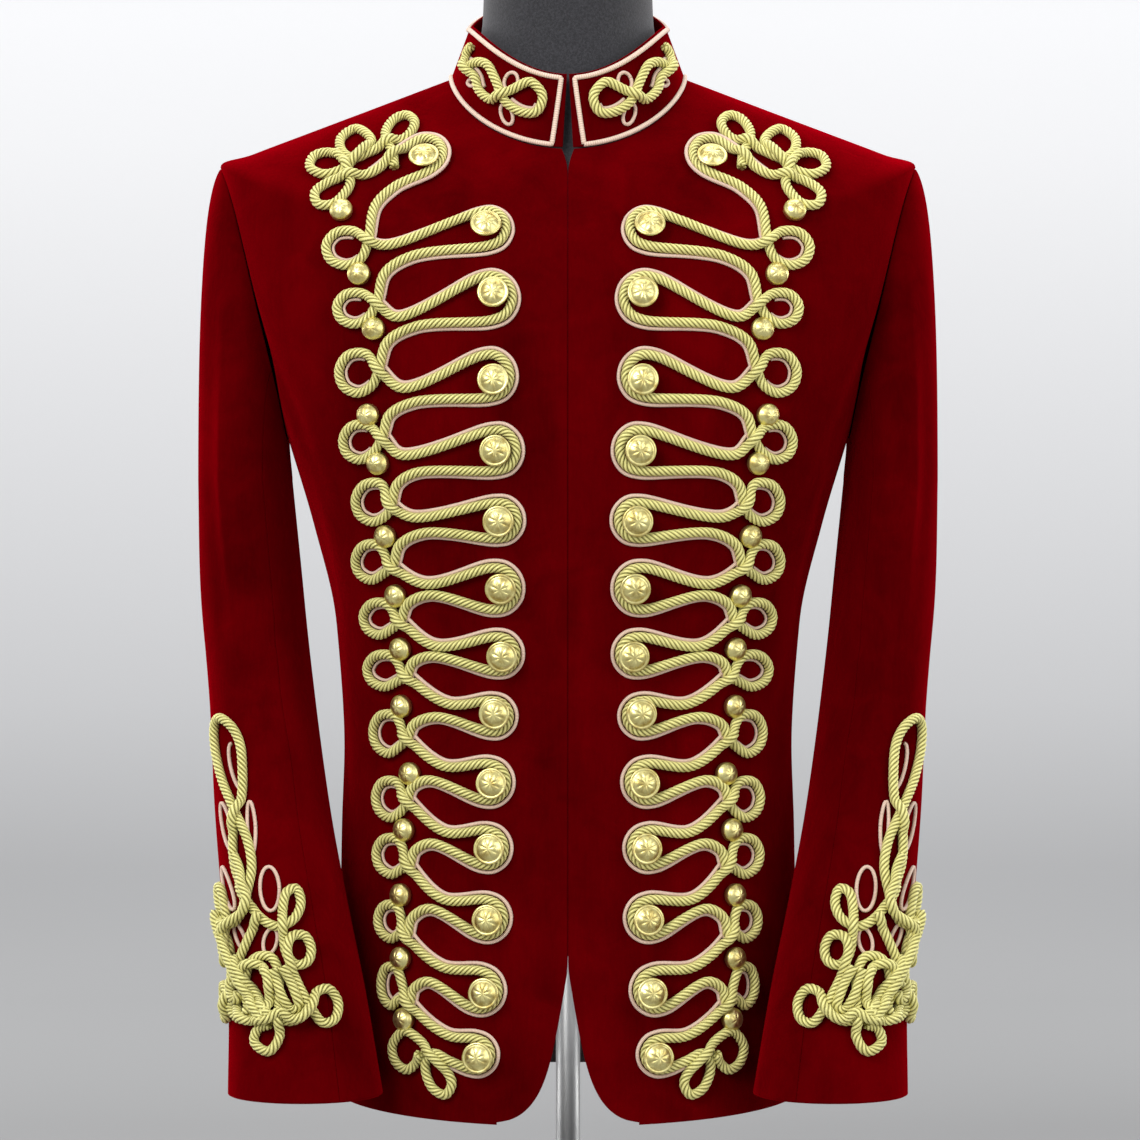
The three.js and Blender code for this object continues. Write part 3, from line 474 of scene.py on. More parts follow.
def locate(x, z):
    """Angle and row of the front at the wanted x and height."""
    x, z = np.asarray(x, float), np.asarray(z, float)
    angle = np.clip(x / 190, 0.01, 1.3)
    row = np.full(x.shape, 5.0)
    for step in range(60):
        here = plain_body(angle, row)
        across = (plain_body(angle + NUDGE, row) - here) / NUDGE
        up = (plain_body(angle, row + NUDGE) - here) / NUDGE
        gap_x, gap_z = x - here[..., 0], z - here[..., 2]
        scale = across[..., 0] * up[..., 2] - across[..., 2] * up[..., 0]
        turn = (gap_x * up[..., 2] - gap_z * up[..., 0]) / scale
        climb = (across[..., 0] * gap_z - across[..., 2] * gap_x) / scale
        angle = np.clip(angle + np.clip(turn, -0.2, 0.2), 0, 1.55)
        row = np.clip(row + np.clip(climb, -0.5, 0.5), 0, NECK - 0.01)
    return angle, row


def on_front(flat):
    """Points and normals of the front at each (x, z)."""
    angle, row = locate(flat[:, 0], flat[:, 1])
    return body_point(angle, row), body_normal(angle, row)


def on_collar(flat):
    """Points and normals of the collar at each (angle, percent of its height)."""
    angle, rise = np.radians(flat[:, 0]), flat[:, 1] / 100
    return collar_point(angle, rise), collar_normal(angle, rise)


def on_cuff(flat):
    """Points and normals of the cuff at each (distance from the knot's middle, height)."""
    rows = np.linspace(0, CUFF - 1, 400)
    place = 1 + np.interp(-flat[:, 1], -sleeve_ring(rows)["z"], rows)
    axis = np.radians(np.interp(flat[:, 1], CUFF_AXIS["z"], CUFF_AXIS["angle"]))
    turns = np.radians(np.linspace(-110, 110, 441))
    angle = np.empty(len(flat))
    for i, across in enumerate(flat[:, 0]):
        around = axis[i] + turns
        along = length_along(sleeve_point(around, np.full(len(turns), place[i])))
        along -= along[len(turns) // 2]
        angle[i] = np.interp(-across, along, around)
    return sleeve_point(angle, place), sleeve_normal(angle, place)


# ---- Meshes ----

def new_piece(name, points, faces, materials, face_material=None, uv=None):
    """A smooth mesh object from points in millimetres."""
    mesh = bpy.data.meshes.new(name)
    corners = faces.tolist() if isinstance(faces, np.ndarray) else faces
    mesh.from_pydata((np.asarray(points) * MM).tolist(), [], corners)
    for material in materials:
        mesh.materials.append(material)
    if face_material is not None:
        mesh.polygons.foreach_set("material_index", np.asarray(face_material, np.int32))
    if uv is not None:
        layer = mesh.uv_layers.new(name=CORD_UV)
        points_of_corners = np.empty(len(mesh.loops), np.int32)
        mesh.loops.foreach_get("vertex_index", points_of_corners)
        layer.data.foreach_set("uv", np.asarray(uv, np.float32)[points_of_corners].ravel())
    mesh.polygons.foreach_set("use_smooth", np.full(len(mesh.polygons), True))
    mesh.update()
    piece = bpy.data.objects.new(name, mesh)
    bpy.context.scene.collection.objects.link(piece)
    return piece


def ride(piece, node=None):
    """The piece belongs to the jacket's one body, and may stand for a solid."""
    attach(piece, "root")
    if node is not None:
        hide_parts(node)


def grid_faces(rows, columns, closed=False):
    """Quads of a grid of points. A closed one joins its last column to its first."""
    row = np.arange(rows - 1)[:, None] * columns
    column = np.arange(columns if closed else columns - 1)[None, :]
    after = (column + 1) % columns
    corners = [row + column, row + after, row + columns + after, row + columns + column]
    return np.stack(np.broadcast_arrays(*corners), -1).reshape(-1, 4)


def capped_faces(rows, columns):
    """Faces of a stack of rings that two more points close, one below and one above."""
    count = rows * columns
    last = count - columns
    around = np.arange(columns)
    after = (around + 1) % columns
    return (
        grid_faces(rows, columns, closed=True).tolist()
        + [[count, b, a] for a, b in zip(around, after)]
        + [[count + 1, last + a, last + b] for a, b in zip(around, after)]
    )


def on_both_sides(name, points, faces, **options):
    """A piece on the wearer's left and its mirror on the right."""
    left = new_piece(f"{name}_left", points, faces, **options)
    flipped = [list(face)[::-1] for face in faces]
    right = new_piece(f"{name}_right", np.asarray(points) * [-1, 1, 1], flipped, **options)
    return left, right


def add_cords(name, points, faces, uv, finish, node=None):
    """A pair of meshes of sewn-on cord."""
    pair = on_both_sides(name, points, faces, materials=[material(finish)], uv=uv)
    for side, piece in zip(SIDES, pair):
        ride(piece, None if node is None else f"{node}_{side}")


def rounding(distance):
    """How far the cloth's face falls back near an edge."""
    left = EDGE_ROUND - np.minimum(distance, EDGE_ROUND)
    return EDGE_ROUND - np.sqrt(np.maximum(EDGE_ROUND**2 - left**2, 0))


def edge_distance(points):
    """Distance of each point of a grid from the nearest edge of the grid."""
    across = np.linalg.norm(np.diff(points, axis=1), axis=-1)
    up = np.linalg.norm(np.diff(points, axis=0), axis=-1)
    rows, columns = points.shape[:2]
    left = np.concatenate([np.zeros((rows, 1)), np.cumsum(across, 1)], 1)
    below = np.concatenate([np.zeros((1, columns)), np.cumsum(up, 0)], 0)
    return np.minimum.reduce([left, left[:, -1:] - left, below, below[-1:] - below])


def cloth_wall(points, normals):
    """Points, faces and face kinds (0 pile, 1 inside) of a wall with rounded edges."""
    rows, columns = points.shape[:2]
    fall = rounding(edge_distance(points))[..., None]
    outer = points - normals * fall
    inner = points - normals * (CLOTH - fall)
    count = rows * columns
    border = np.concatenate([
        np.arange(columns), np.arange(1, rows) * columns + columns - 1,
        (rows - 1) * columns + np.arange(columns - 2, -1, -1),
        np.arange(rows - 2, 0, -1) * columns,
    ])
    after = np.roll(border, -1)
    front = grid_faces(rows, columns)
    back = front[:, ::-1] + count
    rim = np.stack([after, border, border + count, after + count], -1)
    kinds = np.concatenate([np.zeros(len(front)), np.ones(len(back)), np.zeros(len(rim))])
    every = np.concatenate([outer.reshape(-1, 3), inner.reshape(-1, 3)])
    return every, np.concatenate([front, back, rim]), kinds.astype(np.int32)


def flat_size(points):
    """Width, length and area of the flat cut that a grid of points came from, in metres."""
    across = np.linalg.norm(np.diff(points, axis=1), axis=-1)
    up = np.linalg.norm(np.diff(points, axis=0), axis=-1)
    one = points[1:, 1:] - points[:-1, :-1]
    other = points[1:, :-1] - points[:-1, 1:]
    area = np.linalg.norm(np.cross(one, other), axis=-1).sum() / 2
    return across.sum(1).max() * MM, up.sum(0).max() * MM, area * MM**2


def spread_ends(count, width):
    """Shares from 0 to 1, close together at both ends so that an edge can be rounded."""
    near = np.array([0, 0.12, 0.32, 0.6, 1.0]) / width
    between = np.linspace(near[-1], 1 - near[-1], count)[1:-1]
    return np.concatenate([near, between, 1 - near[::-1]])


# ---- Cords ----

def curve(given):
    """Points closely along a centripetal Catmull-Rom curve, and the given points' places."""
    given = np.asarray(given, float)
    line = np.vstack([2 * given[0] - given[1], given, 2 * given[-1] - given[-2]])
    before, start, end, after = line[:-3], line[1:-2], line[2:-1], line[3:]
    root = [np.sqrt(np.linalg.norm(b - a, axis=1))[:, None]
            for a, b in ((before, start), (start, end), (end, after))]
    leave = (start - before) / root[0] - (end - before) / (root[0] + root[1])
    leave = (leave + (end - start) / root[1]) * root[1]
    arrive = (end - start) / root[1] - (after - start) / (root[1] + root[2])
    arrive = (arrive + (after - end) / root[2]) * root[1]
    t = (np.arange(CURVE_STEPS) / CURVE_STEPS)[:, None]
    points = cubic(t, *(part[:, None, :] for part in (start, leave, end, arrive)))
    points = np.vstack([points.reshape(-1, 2), given[-1:]])
    return points, np.arange(len(given)) * CURVE_STEPS


def resampled(points, normals):
    """The same line with its points an even step apart."""
    along = length_along(points)
    wanted = np.linspace(0, along[-1], max(int(round(along[-1] / CORD_STEP)), 3) + 1)
    points, normals = (
        np.stack([np.interp(wanted, along, column) for column in values.T], 1)
        for values in (points, normals))
    return points, unit(normals)


def tangents(points):
    return unit(np.gradient(points, axis=0))


def softened(values, reach):
    """Values smoothed along the line over about so many points."""
    span = np.arange(-3 * reach, 3 * reach + 1)
    weight = np.exp(-((span / reach) ** 2))
    padded = np.pad(values, 3 * reach, mode="edge")
    return np.convolve(padded, weight / weight.sum(), mode="valid")


def lifted(points, thickness, under):
    """How far each point of a cord rises to pass over the cord that lies there already."""
    rise = np.zeros(len(points))
    apart = int(2.6 * thickness / CORD_STEP)
    reach = 0.86 * thickness
    for i in range(len(points)):
        own = max(i - apart, 0)
        below = np.vstack([under[:, :3], points[:own]])
        height = np.concatenate([under[:, 3], rise[:own]])
        gap = np.linalg.norm(below - points[i], axis=1)
        near = gap < reach
        if near.any():
            over = 0.72 * thickness * np.sqrt(1 - (gap[near] / reach) ** 2)
            rise[i] = min((height[near] + over).max(), 1.05 * thickness)
    return softened(rise, 2)


def tube(points, normals, section, turn, marks, end_mark):
    """Points, faces and (length, mark) of a closed tube.

    The section turns by so much for each millimetre, and each of its places has a mark.
    """
    along = length_along(points)
    tangent = tangents(points)
    side = unit(np.cross(tangent, normals))
    top = np.cross(side, tangent)
    angle = turn * along[:, None] + np.arctan2(section[:, 1], section[:, 0])
    reach = np.linalg.norm(section, axis=1)[:, None]
    rings = points[:, None] + reach * (
        np.cos(angle)[..., None] * side[:, None] + np.sin(angle)[..., None] * top[:, None])
    every = np.vstack([rings.reshape(-1, 3), points[:1], points[-1:]])
    uv = np.stack(np.broadcast_arrays(along[:, None], marks), -1).reshape(-1, 2)
    uv = np.vstack([uv, [[0, end_mark], [along[-1], end_mark]]])
    return every, capped_faces(*rings.shape[:2]), uv


def rope(points, normals, radius, lay):
    """A cord of strands twisted together: points, faces and (length, crevice)."""
    share = np.array([-1, -0.66, -0.24, 0.24, 0.66])
    lobe = radius * (0.68 + 0.32 * np.sqrt(1 - share**2))
    angle = (np.arange(STRANDS)[:, None] + share / 2) * 2 * math.pi / STRANDS
    section = np.stack([lobe * np.cos(angle), lobe * np.sin(angle)], -1).reshape(-1, 2)
    crevice = np.tile(np.abs(share), STRANDS)
    return tube(points, normals, section, -2 * math.pi / lay, crevice, 1)


def gimp(points, normals, radius):
    """A plain round cord: points, faces and (length, place round it)."""
    angle = np.arange(GIMP_SIDES) * 2 * math.pi / GIMP_SIDES
    section = radius * np.stack([np.cos(angle), np.sin(angle)], -1)
    return tube(points, normals, section, 0, np.abs(np.sin(angle)), 0)


def merged(parts):
    """Several (points, faces, uv) as one."""
    points, faces, uv, start = [], [], [], 0
    for part_points, part_faces, part_uv in parts:
        points.append(part_points)
        uv.append(part_uv)
        faces += [[start + corner for corner in face] for face in part_faces]
        start += len(part_points)
    return np.vstack(points), faces, np.vstack(uv)


def laid_ropes(paths, place, radius, lay):
    """Twisted cords along flat paths. Each passes over whatever was laid before it."""
    under = np.empty((0, 4))
    ropes = []
    for path in paths:
        points, normals = resampled(*place(curve(path)[0]))
        rise = lifted(points, 2 * radius, under)
        under = np.vstack([under, np.column_stack([points, rise])])
        ropes.append(rope(points + normals * (radius + rise)[:, None], normals, radius, lay))
    return merged(ropes)


def laid_gimp(flat, place, radius, aside=0, high=0.9):
    """A thin cord along a flat line, moved aside, and so many of its radii off the cloth."""
    points, normals = place(flat)
    aside, high = (np.broadcast_to(value, len(points))[:, None] for value in (aside, high))
    points = points + np.cross(tangents(points), normals) * aside + normals * radius * high
    return gimp(*resampled(points, normals), radius)


def ellipse(loop):
    """Flat points along one row of a table of loops."""
    angle = np.radians(loop["start"] + np.linspace(0, loop["sweep"], 40))
    x, y = loop["half_across"] * np.cos(angle), loop["half_up"] * np.sin(angle)
    lean = math.radians(loop["lean"])
    return np.stack([
        loop["across"] + x * math.cos(lean) - y * math.sin(lean),
        loop["up"] + x * math.sin(lean) + y * math.cos(lean),
    ], -1)


def frogging_path():
    """The cord of one front from the shoulder knot to the last loops, and finger marks."""
    path = list(SHOULDER_KNOT)
    marks = []
    for i, f in enumerate(FINGERS):
        from_here = len(path) - 1
        if i > 0:
            path.append((f["trough_x"], f["trough_z"]))
        middle = np.array([f["trough_x"] + f["hump_x"], f["trough_z"] + f["hump_z"]]) / 2
        tip = np.array([f["tip_x"], f["tip_z"]])
        ahead = (tip - middle) / np.linalg.norm(tip - middle)
        for turn in (100, 60, 20, -20, -60, -100):
            along = f["tip_long"] * math.cos(math.radians(turn))
            up = f["tip_high"] * math.sin(math.radians(turn))
            path.append((tip[0] + along * ahead[0] + up * ahead[1],
                         tip[1] + along * ahead[1] - up * ahead[0]))
        path.append((f["hump_x"], f["hump_z"]))
        marks.append((from_here, len(path) - 1))
        if i == len(FINGERS) - 1:
            break
        path.append((f["hump_x"] + BEND["across"] * (f["cross_x"] - f["hump_x"]),
                     f["hump_z"] + BEND["down"] * (f["cross_z"] - f["hump_z"])))
        path.append((f["cross_x"], f["cross_z"]))
        for turn in (-50, 0, 50, 100, 150, 205):
            path.append((f["loop_x"] + f["loop_wide"] * math.sin(math.radians(turn)),
                         f["loop_z"] - f["loop_high"] * math.cos(math.radians(turn))))
        path.append((f["cross_x"], f["cross_z"]))
    return path + list(LAST_LOOPS), marks


# ---- Materials ----

class Value:
    """A shader socket whose sums are written as plain expressions."""

    def __init__(self, paint, socket):
        self.paint, self.socket = paint, socket

    def math(self, operation, *others, swap=False, clamp=False):
        terms = [*others, self] if swap else [self, *others]
        return self.paint.node(
            "Math", {"operation": operation, "use_clamp": clamp}, dict(enumerate(terms)))

    def __add__(self, other):
        return self.math("ADD", other)

    __radd__ = __add__

    def __sub__(self, other):
        return self.math("SUBTRACT", other)

    def __rsub__(self, other):
        return self.math("SUBTRACT", other, swap=True)

    def __mul__(self, other):
        return self.math("MULTIPLY", other)

    __rmul__ = __mul__

    def __truediv__(self, other):
        return self.math("DIVIDE", other)

    def __pow__(self, other):
        return self.math("POWER", other)

    def sine(self):
        return self.math("SINE")

    def within(self, low, high):
        """0 below low, 1 above high and even between."""
        return ((self - low) / (high - low)).math("MULTIPLY", 1, clamp=True)


class Paint:
    """A material that is put together from nodes."""

    def __init__(self, name):
        self.material = bpy.data.materials.new(name)
        self.material.use_nodes = True
        self.tree = self.material.node_tree
        self.tree.nodes.clear()

    def node(self, kind, settings=None, inputs=None, output=0):
        """One output of a new node, whose settings are made before its sockets are filled."""
        node = self.tree.nodes.new("ShaderNode" + kind)
        for name, value in (settings or {}).items():
            if name == "stops":
                self.set_stops(node.color_ramp, value)
            else:
                setattr(node, name, value)
        for name, value in (inputs or {}).items():
            if isinstance(value, Value):
                self.tree.links.new(value.socket, node.inputs[name])
            else:
                node.inputs[name].default_value = value
        return Value(self, node.outputs[output])

    def set_stops(self, ramp, stops):
        while len(ramp.elements) < len(stops):
            ramp.elements.new(0.5)
        for element, (place, color) in zip(ramp.elements, stops):
            element.position = place
            element.color = (*color, 1)

    def place(self, stretch=(1, 1, 1)):
        """Where a point of the object is, in metres, stretched along the axes."""
        where = self.node("TexCoord", output="Object")
        return self.node("Mapping", {"vector_type": "POINT"}, {"Vector": where, "Scale": stretch})

    def part(self, vector, axis):
        """One of the three numbers of a vector."""
        return self.node("SeparateXYZ", inputs={0: vector}, output=axis)

    def noise(self, where, scale, detail=2.0, roughness=0.5, distortion=0.0):
        return self.node("TexNoise", inputs={
            "Vector": where, "Scale": scale, "Detail": detail, "Roughness": roughness,
            "Distortion": distortion,
        })

    def mixed(self, share, one, other):
        """A colour between two."""
        colors = {6: one, 7: other}
        for name, color in colors.items():
            if not isinstance(color, Value):
                colors[name] = (*color, 1)
        return self.node("Mix", {"data_type": "RGBA"}, {0: share, **colors}, output=2)

    def bump(self, height, strength, distance, under=None):
        inputs = {"Height": height, "Strength": strength, "Distance": distance}
        if under is not None:
            inputs["Normal"] = under
        return self.node("Bump", inputs=inputs)

    def finish(self, **inputs):
        """Fills the surface shader's sockets, whose names are written with underscores."""
        named = {name.replace("_", " "): value for name, value in inputs.items()}
        surface = self.node("BsdfPrincipled", inputs=named)
        out = self.tree.nodes.new("ShaderNodeOutputMaterial")
        self.tree.links.new(surface.socket, out.inputs["Surface"])
        return self.material


def velvet(settings):
    paint = Paint("crimson velvet")
    where = paint.place()
    broad = paint.noise(where, 9, 3, 0.55, 0.4)
    patches = paint.noise(where, 38, 4, 0.6, 0.8)
    nap = paint.noise(paint.place((1, 1, 0.16)), 520, 3, 0.6)
    pile = paint.noise(where, 2600, 2, 0.6)
    streaks = paint.noise(paint.place((1, 1, 0.14)), 26, 2, 0.5, 0.3)
    brushed = 0.4 * broad + 0.22 * patches + 0.28 * streaks + 0.1 * nap
    brushed = brushed.within(0.38, 0.62)
    color = paint.mixed(brushed, settings.velvet_deep, settings.velvet_bright)
    color = paint.mixed(pile.within(0.3, 0.75) * 0.3, color, settings.velvet_deep)
    soft = paint.bump(patches, 0.2, 0.004)
    napped = paint.bump(nap, 0.2, 0.0008, soft)
    return paint.finish(
        Base_Color=color, Roughness=0.7 + 0.2 * pile,
        Normal=paint.bump(pile, 0.45, 0.0004, napped), Specular_IOR_Level=0.0,
        Sheen_Weight=settings.sheen, Sheen_Roughness=0.45, Sheen_Tint=(0.8, 0, 0.01, 1),
    )


def lining():
    paint = Paint("dark lining")
    where = paint.place()
    twill = (paint.part(where, 0) * 5200 + paint.part(where, 2) * 5200).sine()
    wear = paint.noise(where, 60, 3)
    color = paint.mixed(wear.within(0.35, 0.7), (0.018, 0.006, 0.007), (0.034, 0.012, 0.013))
    return paint.finish(
        Base_Color=color, Roughness=0.55 + 0.2 * wear, Normal=paint.bump(twill, 0.3, 0.0002))


def cord_gold(settings):
    paint = Paint("twisted gold cord")
    uv = paint.node("UVMap", {"uv_map": CORD_UV})
    crevice = paint.part(uv, 1)
    yarns = (crevice * 12.6 + 0.6 * paint.part(uv, 0).sine()).sine() * 0.5 + 0.5
    fibre = paint.noise(paint.place(), 1900, 3, 0.65)
    wear = paint.noise(paint.place(), 55, 3)
    # Painted shade: the colour darkens into the crevices between the strands and between the
    # yarns, and worn spots darken it as well.
    shade = crevice.within(0.3, 1.0) ** 1.2 + (1 - yarns) * 0.14 + wear.within(0.5, 0.8) * 0.15
    color = paint.mixed(shade.within(0, 1), settings.cord_light, settings.cord_shade)
    color = paint.mixed(fibre.within(0.55, 0.8) * 0.25, color, (0.95, 0.92, 0.5))
    height = 0.65 * yarns + 0.5 * fibre
    return paint.finish(
        Base_Color=color, Roughness=0.42 + 0.2 * fibre, Metallic=0.1 + 0.1 * wear,
        Normal=paint.bump(height, 0.5, 0.0004), Specular_IOR_Level=0.4,
        Sheen_Weight=0.1, Sheen_Roughness=0.5, Sheen_Tint=(1, 0.97, 0.7, 1),
    )


def gimp_cream(name, pitch, light, shade):
    """Thin ribbed cord: pitch is the distance between its turns, in millimetres."""
    paint = Paint(name)
    length = paint.part(paint.node("UVMap", {"uv_map": CORD_UV}), 0)
    ribs = (length * (2 * math.pi / pitch)).sine() * 0.5 + 0.5
    fibre = paint.noise(paint.place(), 2400, 2, 0.6)
    wear = paint.noise(paint.place(), 70, 3)
    # Painted shade: the colour darkens between the ribbed turns, and worn spots darken it as
    # well.
    color = paint.mixed((1 - ribs) * 0.7 + wear.within(0.5, 0.8) * 0.3, light, shade)
    return paint.finish(
        Base_Color=color, Roughness=0.5 + 0.25 * fibre,
        Normal=paint.bump(0.8 * ribs + 0.3 * fibre, 0.6, 0.0003), Specular_IOR_Level=0.35,
        Sheen_Weight=0.3, Sheen_Roughness=0.5, Sheen_Tint=(1, 0.95, 0.9, 1),
    )


def brass():
    paint = Paint("stamped brass")
    where = paint.place()
    tarnish = paint.noise(where, 160, 4, 0.6)
    grain = paint.noise(where, 1500, 2)
    color = paint.mixed(tarnish.within(0.42, 0.7), (0.93, 0.84, 0.36), (0.52, 0.39, 0.11))
    return paint.finish(
        Base_Color=color, Metallic=1.0, Roughness=0.26 + 0.2 * tarnish + 0.06 * grain,
        Normal=paint.bump(grain, 0.12, 0.0001),
    )


def form_cloth():
    paint = Paint("charcoal jersey")
    where = paint.place()
    knit = paint.noise(paint.place((1, 1, 0.45)), 1500, 2, 0.7)
    fleck = paint.noise(where, 650, 3, 0.7)
    color = paint.mixed(fleck.within(0.4, 0.66), (0.0125, 0.012, 0.0145), (0.034, 0.033, 0.038))
    return paint.finish(
        Base_Color=color, Roughness=0.8 + 0.15 * knit, Normal=paint.bump(knit, 0.4, 0.0004),
        Sheen_Weight=0.25, Sheen_Roughness=0.5,
    )


def steel():
    paint = Paint("brushed steel")
    grain = paint.noise(paint.place((1, 1, 0.04)), 900, 3, 0.7)
    smudge = paint.noise(paint.place(), 25, 3)
    color = paint.mixed(smudge.within(0.4, 0.7), (0.72, 0.72, 0.71), (0.6, 0.6, 0.6))
    return paint.finish(
        Base_Color=color, Metallic=1.0, Roughness=0.24 + 0.16 * grain + 0.08 * smudge,
        Normal=paint.bump(grain, 0.08, 0.0001),
    )


def backdrop_paper():
    paint = Paint("pale backdrop")
    where = paint.place()
    grain = paint.noise(where, 300, 3)
    # The fade is painted light: pale above, grey toward the floor.
    away = (paint.part(where, 1) - FADE["y"]).math("MAXIMUM", FADE["nearest"])
    share = ((paint.part(where, 2) - FADE["z"]) / away).within(-FADE["slope"], FADE["slope"])
    stops = [(place, (grey, grey, grey)) for place, grey in FADE["greys"]]
    color = paint.node("ValToRGB", {"stops": stops}, {0: share})
    return paint.finish(
        Base_Color=color, Roughness=0.85 + 0.1 * grain, Normal=paint.bump(grain, 0.05, 0.0003),
        # The backdrop also glows with its fade colour at half strength, which is painted light
        # alongside the lamps.
        Emission_Color=color, Emission_Strength=0.5,
    )


MATERIALS = {}


def material(name):
    """The material of that name, made once."""
    settings = bpy.context.scene.jacket
    makers = {
        "velvet": lambda: velvet(settings),
        "lining": lining,
        "cord": lambda: cord_gold(settings),
        "gimp": lambda: gimp_cream("cream gimp", 0.9, (0.87, 0.66, 0.52), (0.48, 0.28, 0.2)),
        "piping": lambda: gimp_cream("cream piping", 1.5, (0.9, 0.70, 0.56), (0.6, 0.42, 0.3)),
        "brass": brass,
        "form": form_cloth,
        "steel": steel,
        "backdrop": backdrop_paper,
    }
    if name not in MATERIALS:
        MATERIALS[name] = makers[name]()
    return MATERIALS[name]


# ---- Cloth pieces ----

def add_cloth(kind, points, normals):
    """A pair of cloth pieces, with the flat size of each kept on it."""
    every, faces, kinds = cloth_wall(points, normals)
    finishes = [material("velvet"), material("lining")]
    pair = on_both_sides(
        f"velvet_{kind}", every, faces, materials=finishes, face_material=kinds)
    for side, piece in zip(SIDES, pair):
        piece["flat"] = list(flat_size(points))
        ride(piece, f"{kind}_{side}")


def front_edge(z):
    """How far the front edge stands off the middle at a height."""
    cut = np.clip((CUTAWAY["apex"] - z) / CUTAWAY["height"], 0, 1)
    lower = CUTAWAY["flare"] * cut**1.1 + CUTAWAY["round"] * (1 - np.sqrt(1 - cut**6))
    notch = NOTCH["width"] * np.maximum((z - NOTCH["from"]) / NOTCH["height"], 0) ** 2
    return SEAM / 2 + lower + notch


def side_edge(row, width):
    """Angle of the armhole or side edge of a panel at a row."""
    in_armhole = (row > ARMPIT) & (row < SHOULDER)
    share = np.sqrt(np.maximum(1 - (row - (ARMPIT + SHOULDER) / 2) ** 2, 0)) * in_armhole
    return np.radians(90 - width * share)


def panel_rows(hem_rows):
    armhole = 7 - np.cos(np.linspace(0, math.pi, 42))
    neck = np.concatenate([np.linspace(8, 10.9, 30)[1:], [10.955, 10.98, 10.992, 11]])
    return np.concatenate([hem_rows, np.linspace(1.2, 6, 56)[1:-1], armhole, neck])


def half_gap(row):
    """Half of the side seam's gap, as an angle."""
    step = math.radians(0.1)
    turn = np.full(row.shape, math.pi / 2)
    arc = np.linalg.norm(plain_body(turn + step, row) - plain_body(turn - step, row), axis=-1)
    return 0.1 * SEAM * step / arc


def panel(point, normal, rows, start, end, shares):
    """Points and outward normals of a surface, at shares of the way from edge to edge."""
    angle = start[:, None] + (end - start)[:, None] * shares
    row = np.broadcast_to(rows[:, None], angle.shape)
    return point(angle, row), normal(angle, row)


def front_panel():
    rows = panel_rows(1.2 * np.linspace(0, 1, 34) ** 2)
    middle = plain_body(np.zeros(rows.shape), rows)[:, 2]
    start = angle_at(plain_body, front_edge(middle), rows)
    end = side_edge(rows, ARMHOLE["front"]) - half_gap(rows)
    return panel(body_point, body_normal, rows, start, end, spread_ends(46, 200))


def back_panel():
    near = np.array([0, 0.0015, 0.004, 0.008, 0.014])
    rows = panel_rows(np.concatenate([near, np.linspace(0.06, 1.2, 16)]))
    start = math.pi - side_edge(rows, ARMHOLE["back"]) + half_gap(rows)
    end = math.pi - 2 * SEAM / 3 / body_ring(rows)["half"]
    return panel(body_point, body_normal, rows, start, end, spread_ends(38, 210))


def sleeve_panel(first, last, columns):
    """The sleeve between two seams, from the cuff up, so that its faces turn outward."""
    near = np.array([0, 0.003, 0.008, 0.016, 0.03])
    places = np.concatenate([
        near, np.linspace(0.06, 1, 26), np.linspace(1, CUFF - 0.05, 82)[1:],
        [CUFF - 0.027, CUFF - 0.013, CUFF - 0.005, CUFF],
    ])[::-1]
    half_seam = 0.03
    start = np.full(len(places), math.radians(first + half_seam))
    end = np.full(len(places), math.radians(last - half_seam))
    return panel(sleeve_point, sleeve_normal, places, start, end, spread_ends(columns, 110))


def collar_edge(rise):
    """Angle of the collar's front edge at a share of its height."""
    gap = COLLAR_GAP["below"] + (COLLAR_GAP["above"] - COLLAR_GAP["below"]) * rise
    return angle_at(collar_point, gap, rise)


def collar_grid():
    rises = spread_ends(10, 45)
    edge = collar_edge(rises)
    points, normals = panel(
        collar_point, collar_normal, rises, edge, 2 * math.pi - edge, spread_ends(150, 420))
    return points, unit(normals * [1, 1, 0])


# ---- Turned pieces ----

# Outlines (radius, height) from the bottom up, which are turned round the axis.
BUTTON_PROFILE = (
    (0, 0.4), (2.2, 0.4), (2.2, 8.0), (8.6, 8.1), (9.5, 8.35), (9.9, 8.9), (9.8, 9.45),
    (9.3, 9.8), (8.7, 9.85), (8.2, 9.6), (7.9, 9.65), (7.3, 10.3), (6.2, 11.05),
    (5.0, 11.6), (3.8, 12.0), (2.6, 12.2), (1.3, 12.35), (0, 12.4),
)
BEAD_PROFILE = (
    (0, 0.5), (6.6, 0.5), (7.2, 1.6), (7.4, 3.6), (7.3, 4.9), (6.8, 5.9), (6.3, 6.2),
    (5.9, 6.9), (4.9, 7.7), (3.6, 8.4), (2.2, 8.9), (1.1, 9.1), (0, 9.2),
)
BASE_PROFILE = (
    (0, 0),(172, 0), (174.2, 0.6), (175, 2), (175, 6), (174.4, 8), (172.6, 9.8),
    (169, 11.4), (165, 12.2), (120, 13.6), (60, 14.6), (20, 15), (0, 15),
)
POLE_PROFILE = (
    (0, 15.3), (8, 15.3), (8, 207.2), (9, 208.3), (14, 209.4), (28.6, 211.4), (29.4, 212),
    (29.4, 215.2), (29, 215.7), (0, 215.7),
)


def turned(profile, sides, petals=0):
    """Points and faces of a turned body round +Z, with a rosette raised on its top."""
    profile = np.array(profile, float)
    bottom, top = profile[[0, -1], 1]
    angle = np.arange(sides) * 2 * math.pi / sides
    radius = profile[1:-1, :1]
    height = profile[1:-1, 1:] + 0 * angle
    if petals:
        wide = 0.44 * radius.max()
        on_top = np.exp(-(((radius - wide) / (0.5 * wide)) ** 2)) * (height > top - 2.6)
        petal = np.abs(np.cos(petals * angle / 2)) ** 0.6
        height = height + 0.06 * radius.max() * on_top * (petal - 0.45)
    points = np.stack([radius * np.cos(angle), radius * np.sin(angle), height], -1)
    every = np.vstack([points.reshape(-1, 3), [[0, 0, bottom], [0, 0, top]]])
    return every, capped_faces(len(radius), sides)


